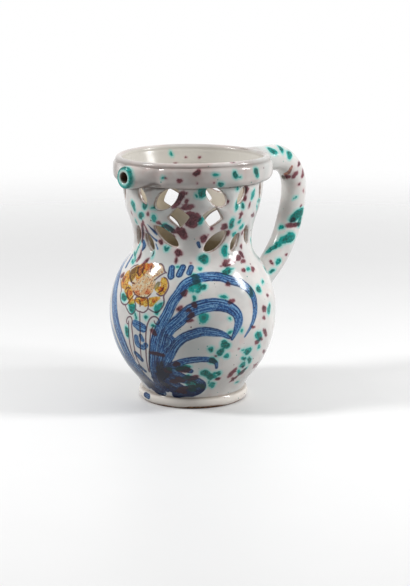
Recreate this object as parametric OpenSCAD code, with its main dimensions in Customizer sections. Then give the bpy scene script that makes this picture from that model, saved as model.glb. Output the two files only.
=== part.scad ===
// Puzzle jug with a pierced neck.
// All lengths are in millimetres. The jug stands on z = 0 with its axis on the z axis.
// The handle points to +x and the drinking spout to -x.
// The neck is pierced, so the jug spills when it is tipped. The drinker sucks at the spout:
// the drink rises from the belly floor through the inner duct, then through the hollow
// handle and the hollow band round the rim. A hole hidden under the handle must be covered.

/* [Display] */
// which piece to draw

/* [Foot] */
// height of the foot ring under the belly
foot_height = 8.3; // [6:0.1:11]
// widest radius of the foot ring
foot_radius = 45.2; // [44.8:0.1:48]
// radius of the round outer side of the foot ring
foot_roll = 6; // [5.7:0.1:8]
// radius of the hollow under the foot
foot_hollow_radius = 34; // [26:0.5:37]

/* [Belly] */
// widest radius of the belly
belly_radius = 68.5; // [60:0.5:78]
// height of the widest place of the belly
belly_height = 72; // [62:0.5:82]
// radius that the belly curve would reach if it ran down to the table
heel_radius = 41; // [39:0.1:42]
// thickness of the thrown wall
wall = 5; // [4.2:0.1:6]
// thickness of the belly floor
floor_thickness = 6; // [4:0.5:8]

/* [Neck] */
// radius at the narrowest place, the waist
waist_radius = 48.2; // [44:0.1:50]
// height of the waist
waist_height = 130.5; // [126:0.5:138]
// height of the seam where the neck sits on the belly
neck_seam_height = 121.5; // [115:0.5:124]
// radius of the neck where it runs under the rim band
neck_radius = 57; // [56:0.1:58]
// height of the rim band's lower edge
band_bottom = 181; // [179:0.1:183]

/* [Lip] */
// how far the crest of the lip stands out from the neck under the band
lip_flare = 2.5; // [2:0.1:3]
// radius of the roll that the lip is rounded with
lip_roll = 3; // [2.6:0.1:3.2]
// height of the lip above the band's lower edge
lip_rise = 19.6; // [19:0.1:21]
// thickness of the neck wall behind the rim band, at the top of the channel
inner_rim_wall = 2.8; // [2.4:0.1:3.2]

/* [Rim band] */
// how far the band stands out from the neck
band_depth = 7.3; // [6.5:0.1:9]
// height of the band
band_width = 17; // [16.6:0.1:17.6]
// radius of the band's lower outer edge
band_lower_edge = 6; // [4:0.1:7]
// radius of the band's upper outer edge
band_upper_edge = 4.5; // [3.5:0.1:5]
// thickness of the band wall
band_wall = 2.7; // [2.2:0.1:2.9]
// height of the channel inside the band
channel_height = 9.6; // [9:0.1:9.8]

/* [Spout] */
// how far the spout's tip stands out from the band
spout_length = 7.7; // [5:0.1:15]
// radius of the spout at its mouth
spout_tip_radius = 8.8; // [7.5:0.1:9.2]
// half the width of the spout's spread base, which the band hides
spout_root_radius = 22.5; // [21:0.1:24]
// radius of the hollow sweep on both sides of the spout
spout_sweep = 30; // [29:0.1:32]
// radius that rounds the spout's mouth
spout_edge = 1.8; // [0.8:0.1:2.2]
// height of the spout's middle above the band's lower edge
spout_rise = 7.4; // [7:0.1:7.8]
// radius of the bore through the spout
spout_bore_radius = 4; // [3:0.1:4.2]

/* [Handle] */
// distance of the handle's middle line from the axis at its outermost
handle_reach = 116; // [108:0.5:122]
// radius of the handle tube
handle_radius = 10.6; // [9:0.1:11]
// radius of the bore in the handle
handle_bore_radius = 4; // [3:0.1:4.2]
// height of the handle's top run above the band's lower edge
handle_rise = 8.4; // [8.1:0.1:8.6]
// bend radius of the handle's middle line at the top
handle_bend = 26.5; // [22:0.5:30]
// radius of the long curve that the handle comes down in
handle_sweep = 91; // [86:0.5:95]
// radius of the hidden hole under the handle's top bend
vent_radius = 2.5; // [1.5:0.1:3]

/* [Inner duct] */
// clear depth of the duct from the belly wall
duct_depth = 5; // [4:0.1:7]
// thickness of the strip that closes the duct
duct_wall = 3; // [2:0.1:4]
// gap between the belly floor and the open end of the duct
duct_gap = 4.2; // [3:0.1:8]
// distance from the table to the closed top of the duct
duct_top = 98; // [96:0.5:104]

/* [Pierced work] */
// length of a leaf cut in a large window
leaf_length = 26; // [20:0.5:27]
// width of a leaf cut in a large window
leaf_width = 9.5; // [7:0.1:11]
// length of a leaf cut in a small window
small_leaf_length = 18; // [14:0.5:20]
// width of a leaf cut in a small window
small_leaf_width = 8; // [6:0.1:9]
// distance between opposite corners of a diamond cut
diamond_size = 16; // [12:0.5:17]

/* [Hidden] */
$fn = 96;
// how far a cutting body runs past the surface that it cuts
overrun = 2;

// how many straight steps stand for each arc of the thrown profile
arc_steps = 12;
// height of the widest place of the foot ring, as a share of its height
foot_widest_share = 0.55;
// share of each drawn-in curve that is hollow. The rest of it bulges out
heel_share = 0.278;
shoulder_share = 0.227;
flare_share = 0.415;

lip_radius = neck_radius + lip_flare;
band_radius = neck_radius + band_depth;
// height of the lip's crest
lip_height = band_bottom + lip_rise;
// height of the middle of the lip's roll
lip_middle = lip_height - lip_roll;
band_top = band_bottom + band_width;
channel_bottom = band_bottom + band_wall;
channel_top = channel_bottom + channel_height;
// radius that rounds the upper outer edge of the channel
channel_edge = lip_roll / 2;
belly_floor = foot_height + floor_thickness;

// the spout and the handle
spout_reach = band_radius + spout_length;
spout_height = band_bottom + spout_rise;
handle_height = band_bottom + handle_rise;
// lean of the spout's sides at the mouth, from the spout's own axis
spout_lean = 36;
// middle of the bend at the top of the handle
bend_x = handle_reach - handle_bend;
bend_z = handle_height - handle_bend;
// middle of the long curve of the handle
sweep_x = handle_reach - handle_sweep;
// how far the handle's middle line runs in from the belly's widest radius
handle_run_in = 13.9;
// turn of the long curve until it ends inside the belly, so that the bore opens there
sweep_turn = acos((belly_radius - handle_run_in - sweep_x) / handle_sweep);
// where the hidden hole sits on the bend, from the level upwards
vent_turn = 30;

// turns of the duct's strip and of its channel about the jug's axis
duct_turn = 18;
duct_channel_turn = 11;

// The large windows face the front and the back, the small ones fill the sides.
// Turns are counted from the front, where the painted flower sits beside the spout.
front_turn = -132;
large_window_turns = [0, 183];
small_window_turns = [60, 121];
mirrored_window_turns = [-61, -119];
// each cut: turn from the middle of its window, height as a share of the neck, lean
large_leaf_shares = [
    [-22.2, 0.834, 37],
    [20.1, 0.85, -39],
    [-26.1, 0.328, -36],
    [22.2, 0.26, 38],
];
diamond_shares = [
    [-12.5, 0.605, 5],
    [17.5, 0.613, -10],
];
small_leaf_shares = [
    [-15.4, 0.849, 60],
    [17, 0.845, -60],
    [-15, 0.2, 60],
    [4.5, 0.28, -62],
];

color_glaze = [0.93, 0.91, 0.89];
color_inside = [0.78, 0.72, 0.62];
color_clay = [0.72, 0.52, 0.38];
color_green = [0.2, 0.66, 0.56];

// The jug is thrown on the wheel, so its profile is a chain of arcs. Each stretch runs from
// a narrow place to a wide one: a hollow arc that starts upright, then a bulging arc that
// ends upright. An inset draws the same arcs deeper in the wall, so that the inside keeps
// one distance from the outside. The points run from the narrow place to the wide one.
function stretch(narrow_z, narrow_r, wide_z, wide_r, hollow_share, inset) =
    let (rise = wide_z - narrow_z)
    let (lean = 2 * atan((wide_r - narrow_r) / abs(rise)))
    let (both_arcs = abs(rise) / sin(lean))
    let (hollow_arc = both_arcs * hollow_share)
    let (bulge_arc = both_arcs - hollow_arc)
    let (up = rise / abs(rise))
    let (hollow = hollow_arc + inset)
    let (bulge = bulge_arc - inset)
    [
        for (step = [0 : arc_steps])
            let (turn = lean * step / arc_steps)
            [narrow_r + hollow_arc - hollow * cos(turn), narrow_z + up * hollow * sin(turn)],
        for (step = [1 : arc_steps])
            let (turn = lean * (1 - step / arc_steps))
            [wide_r - bulge_arc + bulge * cos(turn), wide_z - up * bulge * sin(turn)],
    ];

// the same points from the last to the first, without the place both stretches share
function turned_round(points) = [for (i = [len(points) - 1 : -1 : 1]) points[i]];

// belly, waist and neck up to the rim band, filled from the axis outwards
module pot_fill(inset) {
    lower = stretch(0, heel_radius, belly_height, belly_radius, heel_share, inset);
    shoulder = stretch(waist_height, waist_radius, belly_height, belly_radius,
        shoulder_share, inset);
    flare = stretch(waist_height, waist_radius, band_bottom, neck_radius,
        flare_share, inset);
    belly_points = [for (i = [0 : len(lower) - 2]) lower[i]];
    polygon(concat([[0, 0]], belly_points, turned_round(shoulder), flare, [[0, band_bottom]]));
}

// everything between two heights, out to the handle
module slab(bottom, top) {
    translate([0, bottom]) square([handle_reach, top - bottom]);
}

// a piece of the thrown curve between two heights
module pot_slice(inset, bottom, top) {
    intersection() {
        pot_fill(inset);
        slab(bottom, top);
    }
}

// wall of the rim behind the band, up to the middle of the lip's roll
module rim_wall() {
    channel_x = lip_radius - lip_roll + inner_rim_wall - (lip_middle - channel_top) / 2;
    polygon([
        [neck_radius - wall, band_bottom],
        [neck_radius, band_bottom],
        [channel_x, channel_top],
        [lip_radius, lip_middle],
        [lip_radius - lip_roll, lip_middle],
    ]);
    translate([lip_radius, lip_middle]) circle(r = lip_roll);
}

// cross section of the band, rounded on the outside. An inset draws its channel
module band_shape(inset) {
    outer_x = band_radius - inset;
    low = band_bottom + inset;
    high = inset > 0 ? channel_top : band_top;
    low_edge = band_lower_edge - inset;
    high_edge = inset > 0 ? channel_edge : band_upper_edge;
    low_edge_z = low + low_edge;
    high_edge_z = high - high_edge;
    inner_x = neck_radius - wall;
    translate([inner_x, low]) square([outer_x - low_edge - inner_x, low_edge]);
    translate([inner_x, low_edge_z]) square([outer_x - inner_x, high_edge_z - low_edge_z]);
    translate([inner_x, high_edge_z]) square([outer_x - high_edge - inner_x, high_edge]);
    translate([outer_x - low_edge, low_edge_z]) circle(r = low_edge);
    translate([outer_x - high_edge, high_edge_z]) circle(r = high_edge);
}

// cross section of the lip, filled inwards from its crest
module lip_fill() {
    translate([0, band_bottom]) square([lip_radius, lip_rise]);
    translate([lip_radius, lip_middle]) circle(r = lip_roll);
}

// solid of the neck and the whole rim, which the spout and the handle are fitted against
module rim_core() {
    rotate_extrude() {
        pot_slice(0, neck_seam_height, band_bottom);
        band_shape(0);
        lip_fill();
    }
}

// solid of the belly, which the lower end of the handle is fitted against
module belly_core() {
    rotate_extrude() pot_slice(0, foot_height, neck_seam_height);
}

// round bar along the handle's middle line, from the rim to the belly
module handle_bar(bar_radius, start_x) {
    translate([start_x, 0, handle_height]) rotate([0, 90, 0])
        cylinder(r = bar_radius, h = bend_x - start_x);
    translate([bend_x, 0, bend_z]) rotate([90, 0, 0])
        rotate_extrude(angle = 90) translate([handle_bend, 0]) circle(r = bar_radius);
    translate([sweep_x, 0, bend_z]) rotate([-90, 0, 0])
        rotate_extrude(angle = sweep_turn) translate([handle_sweep, 0]) circle(r = bar_radius);
}

// leaf outline between two equal arcs
module leaf(length, width) {
    arc = (length * length + width * width) / (4 * width);
    intersection() {
        translate([0, arc - width / 2]) circle(r = arc);
        translate([0, width / 2 - arc]) circle(r = arc);
    }
}

module diamond(size) {
    half = size / 2;
    polygon([[half, 0], [0, half], [-half, 0], [0, -half]]);
}

// pushes a cut straight out from the axis through the neck wall
module push_cut(window_turn, side, cut) {
    height = neck_seam_height + cut[1] * (band_bottom - neck_seam_height);
    rotate([0, 0, front_turn + window_turn + side * cut[0]]) translate([0, 0, height])
        rotate([90, 0, 90]) linear_extrude(height = neck_radius + overrun)
            rotate([0, 0, side * cut[2]]) children();
}

module small_window(window_turn, side) {
    for (cut = small_leaf_shares)
        push_cut(window_turn, side, cut) leaf(small_leaf_length, small_leaf_width);
}

module large_window(window_turn) {
    for (cut = large_leaf_shares)
        push_cut(window_turn, 1, cut) leaf(leaf_length, leaf_width);
    for (cut = diamond_shares)
        push_cut(window_turn, 1, cut) diamond(diamond_size);
}

// turned ring that the jug stands on, with the floor that it is turned from
module foot_ring() {
    color(color_clay)
    rotate_extrude() {
        difference() {
            union() {
                translate([foot_radius - foot_roll, foot_height * foot_widest_share])
                    circle(r = foot_roll);
                square([foot_radius - foot_roll, foot_height]);
            }
            square([foot_hollow_radius, foot_height]);
            translate([0, foot_height]) square([foot_radius, foot_roll]);
            translate([0, -foot_roll]) square([foot_radius, foot_roll]);
        }
        pot_slice(wall, foot_height, belly_floor);
    }
}

// thrown wall of the belly, with the hole where the handle's bore comes in
module belly() {
    color(color_glaze)
    difference() {
        rotate_extrude() difference() {
            pot_slice(0, foot_height, neck_seam_height);
            pot_slice(wall, foot_height - overrun, neck_seam_height + overrun);
        }
        handle_bar(handle_bore_radius, band_radius);
    }
}

// pierced neck with the rolled lip
module neck() {
    color(color_glaze)
    difference() {
        rotate_extrude() {
            difference() {
                pot_slice(0, neck_seam_height, band_bottom);
                pot_slice(wall, neck_seam_height - overrun, band_bottom);
            }
            rim_wall();
        }
        for (turn = large_window_turns) large_window(turn);
        for (turn = small_window_turns) small_window(turn, 1);
        for (turn = mirrored_window_turns) small_window(turn, -1);
    }
}

// strip that closes the channel round the rim
module rim_band() {
    color(color_glaze)
    difference() {
        rotate_extrude() difference() {
            band_shape(0);
            square([neck_radius, band_top]);
            rim_wall();
            band_shape(band_wall);
        }
        translate([neck_radius, 0, handle_height]) rotate([0, 90, 0])
            cylinder(r = handle_bore_radius, h = band_radius - neck_radius + overrun);
        translate([-neck_radius, 0, spout_height]) rotate([0, -90, 0])
            cylinder(r = spout_bore_radius, h = band_radius - neck_radius + overrun);
    }
}

// trumpet that the spout is pinched from, with its rounded mouth upwards
module spout_trumpet() {
    length = spout_reach - neck_radius;
    side = length - spout_edge;
    rotate_extrude() {
        difference() {
            square([spout_root_radius, side]);
            translate([spout_tip_radius, side]) rotate(spout_lean)
                translate([spout_sweep, 0]) circle(r = spout_sweep);
        }
        square([spout_tip_radius - spout_edge, length]);
        translate([spout_tip_radius - spout_edge, side]) circle(r = spout_edge);
    }
}

// short drinking spout, spread along the band and trimmed to the height of the band
module spout() {
    foot_z = spout_height - spout_tip_radius;
    color(color_green)
    difference() {
        intersection() {
            translate([-neck_radius, 0, spout_height]) rotate([0, -90, 0]) spout_trumpet();
            translate([-spout_reach, -spout_root_radius, foot_z])
                cube([spout_reach, 2 * spout_root_radius, band_top - foot_z]);
        }
        rim_core();
        translate([-neck_radius, 0, spout_height]) rotate([0, -90, 0])
            cylinder(r = spout_bore_radius, h = spout_reach - neck_radius + overrun);
    }
}

// hollow handle with the hidden hole
module handle() {
    color(color_glaze)
    difference() {
        handle_bar(handle_radius, neck_radius);
        rim_core();
        belly_core();
        handle_bar(handle_bore_radius, neck_radius);
        translate([bend_x, 0, bend_z]) rotate([0, 90 - vent_turn, 0])
            cylinder(r = vent_radius, h = handle_bend);
    }
}

// strip luted up the inside of the belly below the handle
module inner_duct() {
    bottom = belly_floor + duct_gap;
    color(color_inside)
    difference() {
        rotate([0, 0, -duct_turn / 2]) rotate_extrude(angle = duct_turn) difference() {
            pot_slice(wall, bottom, duct_top);
            pot_slice(wall + duct_depth + duct_wall, bottom - overrun, duct_top + overrun);
        }
        rotate([0, 0, -duct_channel_turn / 2]) rotate_extrude(angle = duct_channel_turn)
            difference() {
                pot_slice(wall - overrun, bottom - overrun, duct_top - duct_wall);
                pot_slice(wall + duct_depth, bottom - overrun - overrun, duct_top);
            }
    }
}

foot_ring();
belly();
neck();
rim_band();
spout();
handle();
inner_duct();
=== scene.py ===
# %% [markdown]
# # A puzzle jug with a pierced neck
# A puzzle jug is a joke of the potter. Its neck is cut through, so it spills when it is
# tipped. The drink has to be sucked out: it rises through a duct on the belly wall, through
# the hollow handle and through the hollow band round the rim, and leaves at a small spout.
# The solid model of the jug is the fixed frame here. This lesson lays a glazed and painted
# skin over it, piece by piece, in the frame's own place and size.

# %% Load the fixed frame
import math

import bmesh
import bpy
import numpy as np
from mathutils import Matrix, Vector
from mathutils.geometry import delaunay_2d_cdt


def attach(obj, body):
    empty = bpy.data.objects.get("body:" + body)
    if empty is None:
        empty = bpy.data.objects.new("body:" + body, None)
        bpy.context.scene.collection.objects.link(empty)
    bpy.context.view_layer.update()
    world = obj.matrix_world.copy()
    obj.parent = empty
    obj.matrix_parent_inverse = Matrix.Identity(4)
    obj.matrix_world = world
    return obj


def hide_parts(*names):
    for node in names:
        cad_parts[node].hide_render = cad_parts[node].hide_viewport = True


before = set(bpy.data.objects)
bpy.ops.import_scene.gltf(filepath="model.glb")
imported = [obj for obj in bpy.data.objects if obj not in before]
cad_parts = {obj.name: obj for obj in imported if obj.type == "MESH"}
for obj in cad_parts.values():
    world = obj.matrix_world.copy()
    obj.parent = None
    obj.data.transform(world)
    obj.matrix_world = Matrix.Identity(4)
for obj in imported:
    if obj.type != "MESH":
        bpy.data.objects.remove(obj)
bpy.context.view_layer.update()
print("the fixed frame holds", sorted(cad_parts))

# %% [markdown]
# ## Places on a round pot
# A potter finds a place on a pot by turning it: so far round, so high up. The same two
# numbers place everything here. A turn is counted in degrees from the front, which is the
# side that the camera sees, and grows to the right. A height is in millimetres above the
# table. The frame is in metres with the handle on +X, so one helper changes the one into
# the other.

# %% Turn, radius and height to a point of the frame
MM = 0.001
FRONT_TURN = -132


def place(radius, turn, height):
    """Points in metres for radii and heights in millimetres and turns in degrees."""
    angle = np.radians(FRONT_TURN + np.asarray(turn, float))
    radius, angle, height = np.broadcast_arrays(radius, angle, height)
    return np.stack([radius * np.cos(angle), radius * np.sin(angle), height], -1) * MM


def find_turn(points):
    """The turn of each point, from -90 up to 270 degrees."""
    turn = np.degrees(np.arctan2(points[:, 1], points[:, 0])) - FRONT_TURN
    return (turn + 90) % 360 - 90


print("the front faces", place(1000, 0, 0).round(2))

# %% [markdown]
# ## The thrown profile
# A thrown pot is one flowing line turned about an axis. A screw modifier or a spin could
# turn a drawn curve, but then the cut windows and the painting would have to find the
# surface again. So the line is worked out: each stretch runs from a narrow place to a wide
# one, as a hollow arc that passes into a bulging arc. The same arcs drawn deeper in the
# wall give the inside.

# %% The curve of the pot, outside and inside
FOOT_HEIGHT, BELLY_FLOOR, WALL = 8.3, 14.3, 5.0
SEAM_HEIGHT, BAND_BOTTOM, BAND_TOP = 121.5, 181.0, 198.0
HEEL, BELLY, WAIST, COLLAR = (0, 41), (72, 68.5), (130.5, 48.2), (BAND_BOTTOM, 57)
STRETCHES = [(HEEL, BELLY, 0.278), (WAIST, BELLY, 0.227), (WAIST, COLLAR, 0.415)]


def stretch(narrow, wide, hollow_share, inset, steps=80):
    """Heights and radii of one drawn-in curve, from its narrow place to its wide one."""
    rise = wide[0] - narrow[0]
    lean = 2 * math.atan((wide[1] - narrow[1]) / abs(rise))
    both = abs(rise) / math.sin(lean)
    hollow = both * hollow_share
    bulge = both - hollow
    up = math.copysign(1, rise)
    turn = np.linspace(0, lean, steps)
    back = turn[-2::-1]
    height = np.append(narrow[0] + up * (hollow + inset) * np.sin(turn),
                       wide[0] - up * (bulge - inset) * np.sin(back))
    radius = np.append(narrow[1] + hollow - (hollow + inset) * np.cos(turn),
                       wide[1] - bulge + (bulge - inset) * np.cos(back))
    return height, radius


def thrown_line(inset):
    """Heights and radii from the foot to the rim band."""
    heel, shoulder, flare = (stretch(*s, inset) for s in STRETCHES)
    height = np.concatenate([heel[0], shoulder[0][-2::-1], flare[0][1:]])
    radius = np.concatenate([heel[1], shoulder[1][-2::-1], flare[1][1:]])
    return height, radius


OUTER, INNER = thrown_line(0), thrown_line(WALL)
RIM_WALL_OUT = [(187, 58.3), (193.5, 59.6)]
RIM_WALL_IN = [(186, 53.1), (192, 55.0), (197.6, 56.5)]
OUTER = [np.append(OUTER[i], [p[i] for p in RIM_WALL_OUT]) for i in (0, 1)]
INNER = [np.append(INNER[i], [p[i] for p in RIM_WALL_IN]) for i in (0, 1)]


def pot_radius(height):
    return np.interp(height, *OUTER)


def inside_radius(height):
    return np.interp(height, *INNER)


print("belly", pot_radius(72), "waist", pot_radius(130.5), "under the band", pot_radius(181))

# %% [markdown]
# ## The potter's hand
# No thrown pot is quite round. A slow wave of a third of a millimetre runs round the wall,
# and the rim sags a little because the windows weaken the neck. Both are worked out from
# turn and height, so belly, neck, band, spout and handle share the same wave and meet
# without a step.

# %% A slow wave in the wall and a sag in the rim
def hand_wave(turn, height):
    turn = np.radians(turn)
    return 0.3 * np.sin(2 * turn + height / 60) + 0.17 * np.sin(3 * turn + 2 - height / 45)


def rim_sag(turn, height):
    share = np.clip((np.asarray(height, float) - 150) / 45, 0, 1)
    return 0.45 * share * share * (3 - 2 * share) * np.sin(2 * np.radians(turn) + 0.9)


def thrown(radius, turn, height):
    """A point of the wall, moved by the hand's wave and the rim's sag."""
    return place(radius + hand_wave(turn, height), turn, height + rim_sag(turn, height))


print("the wave moves the wall by up to",
      np.abs(hand_wave(np.arange(360), 90)).max().round(2), "mm")

# %% [markdown]
# ## From rings of points to a closed piece
# Most pieces are rings of points that are joined by four-sided faces, and closed by a fan
# at each pole. Writing the faces out gives full control over where the mesh is fine: the
# painting is stored on the vertices, so the front needs small faces and the back doesn't.

# %% Join rings of points with faces
def join_rings(rings, columns, first=0, loop=False):
    """Four-sided faces between rings of one length, ring 0 to the last one."""
    faces = []
    for ring in range(rings if loop else rings - 1):
        low, high = first + ring * columns, first + (ring + 1) % rings * columns
        for c in range(columns):
            d = (c + 1) % columns
            faces.append((low + c, low + d, high + d, high + c))
    return faces


def bridge(low, high):
    """Four-sided faces between two closed rings, given by the numbers of their points."""
    after = np.roll(np.arange(len(low)), -1)
    return [(low[i], low[j], high[j], high[i]) for i, j in enumerate(after)]


def fan(pole, start, columns, turned):
    """Triangles from one ring to a pole."""
    pairs = [(start + c, start + (c + 1) % columns) for c in range(columns)]
    return [(pole, b, a) if turned else (pole, a, b) for a, b in pairs]


print("three rings of 8 points are joined by", len(join_rings(3, 8)), "faces")

# %% Make a smooth piece at its place in the frame
def make_piece(name, points, faces, node, sharp=50):
    """A piece of the jug at its place in the frame, riding on the jug's one body."""
    mesh = bpy.data.meshes.new(name)
    mesh.from_pydata(np.asarray(points).tolist(), [], faces)
    work = bmesh.new()
    work.from_mesh(mesh)
    bmesh.ops.recalc_face_normals(work, faces=work.faces)
    work.to_mesh(mesh)
    work.free()
    piece = bpy.data.objects.new(name, mesh)
    bpy.context.scene.collection.objects.link(piece)
    finish_surface(piece, sharp)
    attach(piece, "root")
    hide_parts(node)
    print(name, "has", len(mesh.vertices), "points and", len(mesh.polygons), "faces")
    return piece


def finish_surface(piece, sharp):
    piece.data.shade_smooth()
    piece.data.set_sharp_from_angle(angle=math.radians(sharp))


# %% [markdown]
# ## Belly
# The belly is a thrown bowl of about five millimetres of clay with a flat floor. Its
# outside carries most of the painting, so its columns are half a millimetre apart where
# the flower is, one millimetre on the rest of the front, and two on the back. The inside
# only has to be round. The row next to the seam is very thin, which keeps the shading
# of belly and neck alike where they meet. The floor is made with the foot, from which a
# potter turns it.

# %% Columns and rows that are fine where the painting is
def spaced(low, high, step):
    return np.linspace(low, high, max(2, round((high - low) / step) + 1))


POT_TURNS = np.unique(np.concatenate([
    spaced(-90, -64, 0.8), spaced(-64, -14, 0.44), spaced(-14, 76, 0.8), spaced(76, 270, 1.6),
]).round(4))[:-1]
SEAM_STEP = 0.05
belly_heights = np.unique(np.concatenate([
    spaced(FOOT_HEIGHT, 24, 0.75), spaced(24, 60, 0.75), spaced(60, 112, 0.5),
    spaced(112, SEAM_HEIGHT - SEAM_STEP, 0.45), [SEAM_HEIGHT],
]).round(4))
print(len(POT_TURNS), "columns and", len(belly_heights), "rows on the outside of the belly")

# %% Make the belly
def belly_rings():
    """Radius and height of every ring, up the outside and down the inside."""
    outside = [(pot_radius(z), z) for z in belly_heights]
    inside = [(inside_radius(z), z) for z in spaced(FOOT_HEIGHT, SEAM_HEIGHT, 4)[::-1]]
    return np.array(outside + inside)


rings = belly_rings()
points = thrown(rings[:, :1], POT_TURNS[None], rings[:, 1:]).reshape(-1, 3)
faces = join_rings(len(rings), len(POT_TURNS), loop=True)
belly = make_piece("jug_belly", points, faces, "belly")

# %% [markdown]
# ## Pierced neck
# The potter cuts leaves and diamonds out of the leather-hard neck with a knife, and the
# glaze later rounds their edges. Cutting a finished mesh with a boolean would leave hard
# edges and long thin faces that shade badly. Instead the wall is unrolled flat, its points
# and the outlines of the windows are joined into triangles, the triangles in the windows
# are left out, and the sheet is rolled up again, once for the outside and once for the
# inside. Rings of points beside each outline fall back in a quarter circle, which is the
# rounded edge.

# %% The windows: turn, height, lean, length, width and how round they are
def neck_height(share):
    return SEAM_HEIGHT + share * (BAND_BOTTOM - SEAM_HEIGHT)


# each cut: turn from the middle of its window, height share, lean, length, width, shape
LARGE_WINDOW = [
    (-22.4, 0.842, 37, 26.5, 13, "leaf"), (20.0, 0.872, -38, 21.5, 12, "oval"),
    (-26.1, 0.328, -36, 26, 9.5, "leaf"), (22.2, 0.260, 38, 25, 10.5, "leaf"),
    (-12.3, 0.600, 4, 18, 16.5, "diamond"), (17.7, 0.600, -12, 17.5, 16, "diamond"),
]
SMALL_WINDOW = [
    (-15.4, 0.862, 60, 15, 7.2, "leaf"), (17.0, 0.850, -60, 16.5, 7.6, "leaf"),
    (-15.0, 0.218, 60, 15.5, 7.2, "leaf"), (4.5, 0.280, -62, 18, 8, "leaf"),
]


def window_outline(length, width, shape, count=56):
    """Points and outward directions round one cut, in millimetres about its middle."""
    t = np.linspace(0, 2 * math.pi, count, endpoint=False)
    power = {"leaf": (1.0, 1.4), "oval": (1.0, 1.0), "diamond": (1.8, 1.8)}[shape]
    x = length / 2 * np.sign(np.cos(t)) * np.abs(np.cos(t)) ** power[0]
    y = width / 2 * np.sign(np.sin(t)) * np.abs(np.sin(t)) ** power[1]
    closed = np.column_stack([x, y])
    step = np.linalg.norm(np.roll(closed, -1, 0) - closed, axis=1)
    along = np.append(0, np.cumsum(step))
    even = np.linspace(0, along[-1], count, endpoint=False)
    around = np.vstack([closed, closed[:1]])
    outline = np.column_stack([np.interp(even, along, around[:, i]) for i in (0, 1)])
    for _ in range(1 if shape == "diamond" else 3):
        outline = (np.roll(outline, 1, 0) + 2 * outline + np.roll(outline, -1, 0)) / 4
    tangent = np.roll(outline, -1, 0) - np.roll(outline, 1, 0)
    tangent /= np.linalg.norm(tangent, axis=1)[:, None]
    return outline, np.column_stack([tangent[:, 1], -tangent[:, 0]])


# turns of the windows' middles; a mirrored window has the side -1
LARGE_TURNS, SMALL_TURNS, MIRRORED_TURNS = (0, 183), (60, 121), (-61, 241)
WINDOWS = [(middle, 1, cut) for middle in LARGE_TURNS for cut in LARGE_WINDOW]
WINDOWS += [(middle, 1, cut) for middle in SMALL_TURNS for cut in SMALL_WINDOW]
WINDOWS += [(middle, -1, cut) for middle in MIRRORED_TURNS for cut in SMALL_WINDOW]
print(len(WINDOWS), "cuts in the neck")

# %% Lay the neck out flat, with rings of points round its windows
FLAT_RADIUS = 50.0
FLAT = math.radians(1) * FLAT_RADIUS
EDGE_STEPS = [0.0, 0.22, 0.6, 1.1, 1.7]
NECK_TOP = 184.0
neck_turns = np.unique(np.concatenate([
    spaced(-90, 80, 0.85), spaced(80, 270, 1.4)]).round(4))
neck_rows = np.concatenate([[SEAM_HEIGHT, SEAM_HEIGHT + SEAM_STEP],
                            spaced(SEAM_HEIGHT + 0.8, NECK_TOP - 0.8, 0.78), [NECK_TOP]])


def flat_windows():
    """Edge rings of every cut on the unrolled wall: x along the wall, y is the height."""
    cuts = []
    for middle, side, (turn, share, lean, length, width, shape) in WINDOWS:
        outline, outward = window_outline(length, width, shape)
        a = math.radians(lean)
        spin = np.array([[math.cos(a), math.sin(a)], [-math.sin(a), math.cos(a)]])
        outline, outward = outline @ spin, outward @ spin
        if side < 0:
            outline[:, 0] *= -1
            outward[:, 0] *= -1
            outline, outward = outline[::-1], outward[::-1]
        narrowing = FLAT_RADIUS / pot_radius(neck_height(share))
        shift = np.array([(middle + side * turn) * FLAT, neck_height(share)])
        cuts.append([(outline + outward * d) * (narrowing, 1) + shift for d in EDGE_STEPS])
    return cuts


cuts = flat_windows()
WINDOW_REACH, NOTHING_NEAR, CLEAR_OF_EDGE = 26, 99.0, 0.35


def gap_to_cut(spots, outline):
    """Distance of flat points from one outline, negative inside the window."""
    edge = np.roll(outline, -1, 0) - outline
    across = spots[:, None] - outline[None]
    share = np.clip((across * edge).sum(-1) / (edge ** 2).sum(-1), 0, 1)
    nearest = across - share[..., None] * edge
    gap = np.sqrt((nearest ** 2).sum(-1)).min(1)
    x, y = spots[:, :1], spots[:, 1:]
    x0, y0 = outline[:, 0], outline[:, 1]
    x1, y1 = np.roll(x0, -1), np.roll(y0, -1)
    crossing = ((y0 > y) != (y1 > y)) & (x < (x1 - x0) * (y - y0) / (y1 - y0 + 1e-12) + x0)
    return np.where(crossing.sum(1) % 2 == 1, -gap, gap)


def gap_to_windows(spots):
    """Distance to the nearest window, looked for only close to each one."""
    gap = np.full(len(spots), NOTHING_NEAR)
    for rings_of_cut in cuts:
        outline = rings_of_cut[0]
        near = np.abs(spots - outline.mean(0)).max(1) < WINDOW_REACH
        if near.any():
            gap[near] = np.minimum(gap[near], gap_to_cut(spots[near], outline))
    return gap


grid = np.array([(t * FLAT, z) for z in neck_rows for t in neck_turns])
grid_gap = gap_to_windows(grid)
on_border = (grid[:, 1] < SEAM_HEIGHT + 2 * SEAM_STEP) | (grid[:, 1] == NECK_TOP)
keep = (grid_gap > EDGE_STEPS[-1] + CLEAR_OF_EDGE) | on_border
flat, kept_gap = grid[keep], grid_gap[keep]
number = np.full(len(grid), -1)
number[keep] = np.arange(keep.sum())
bars = [gap_to_cut(a[0], b[0]).min() for i, a in enumerate(cuts) for b in cuts[:i]]
print(len(flat), "points on the plain wall; narrowest bar", round(min(bars), 1), "mm")

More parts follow.
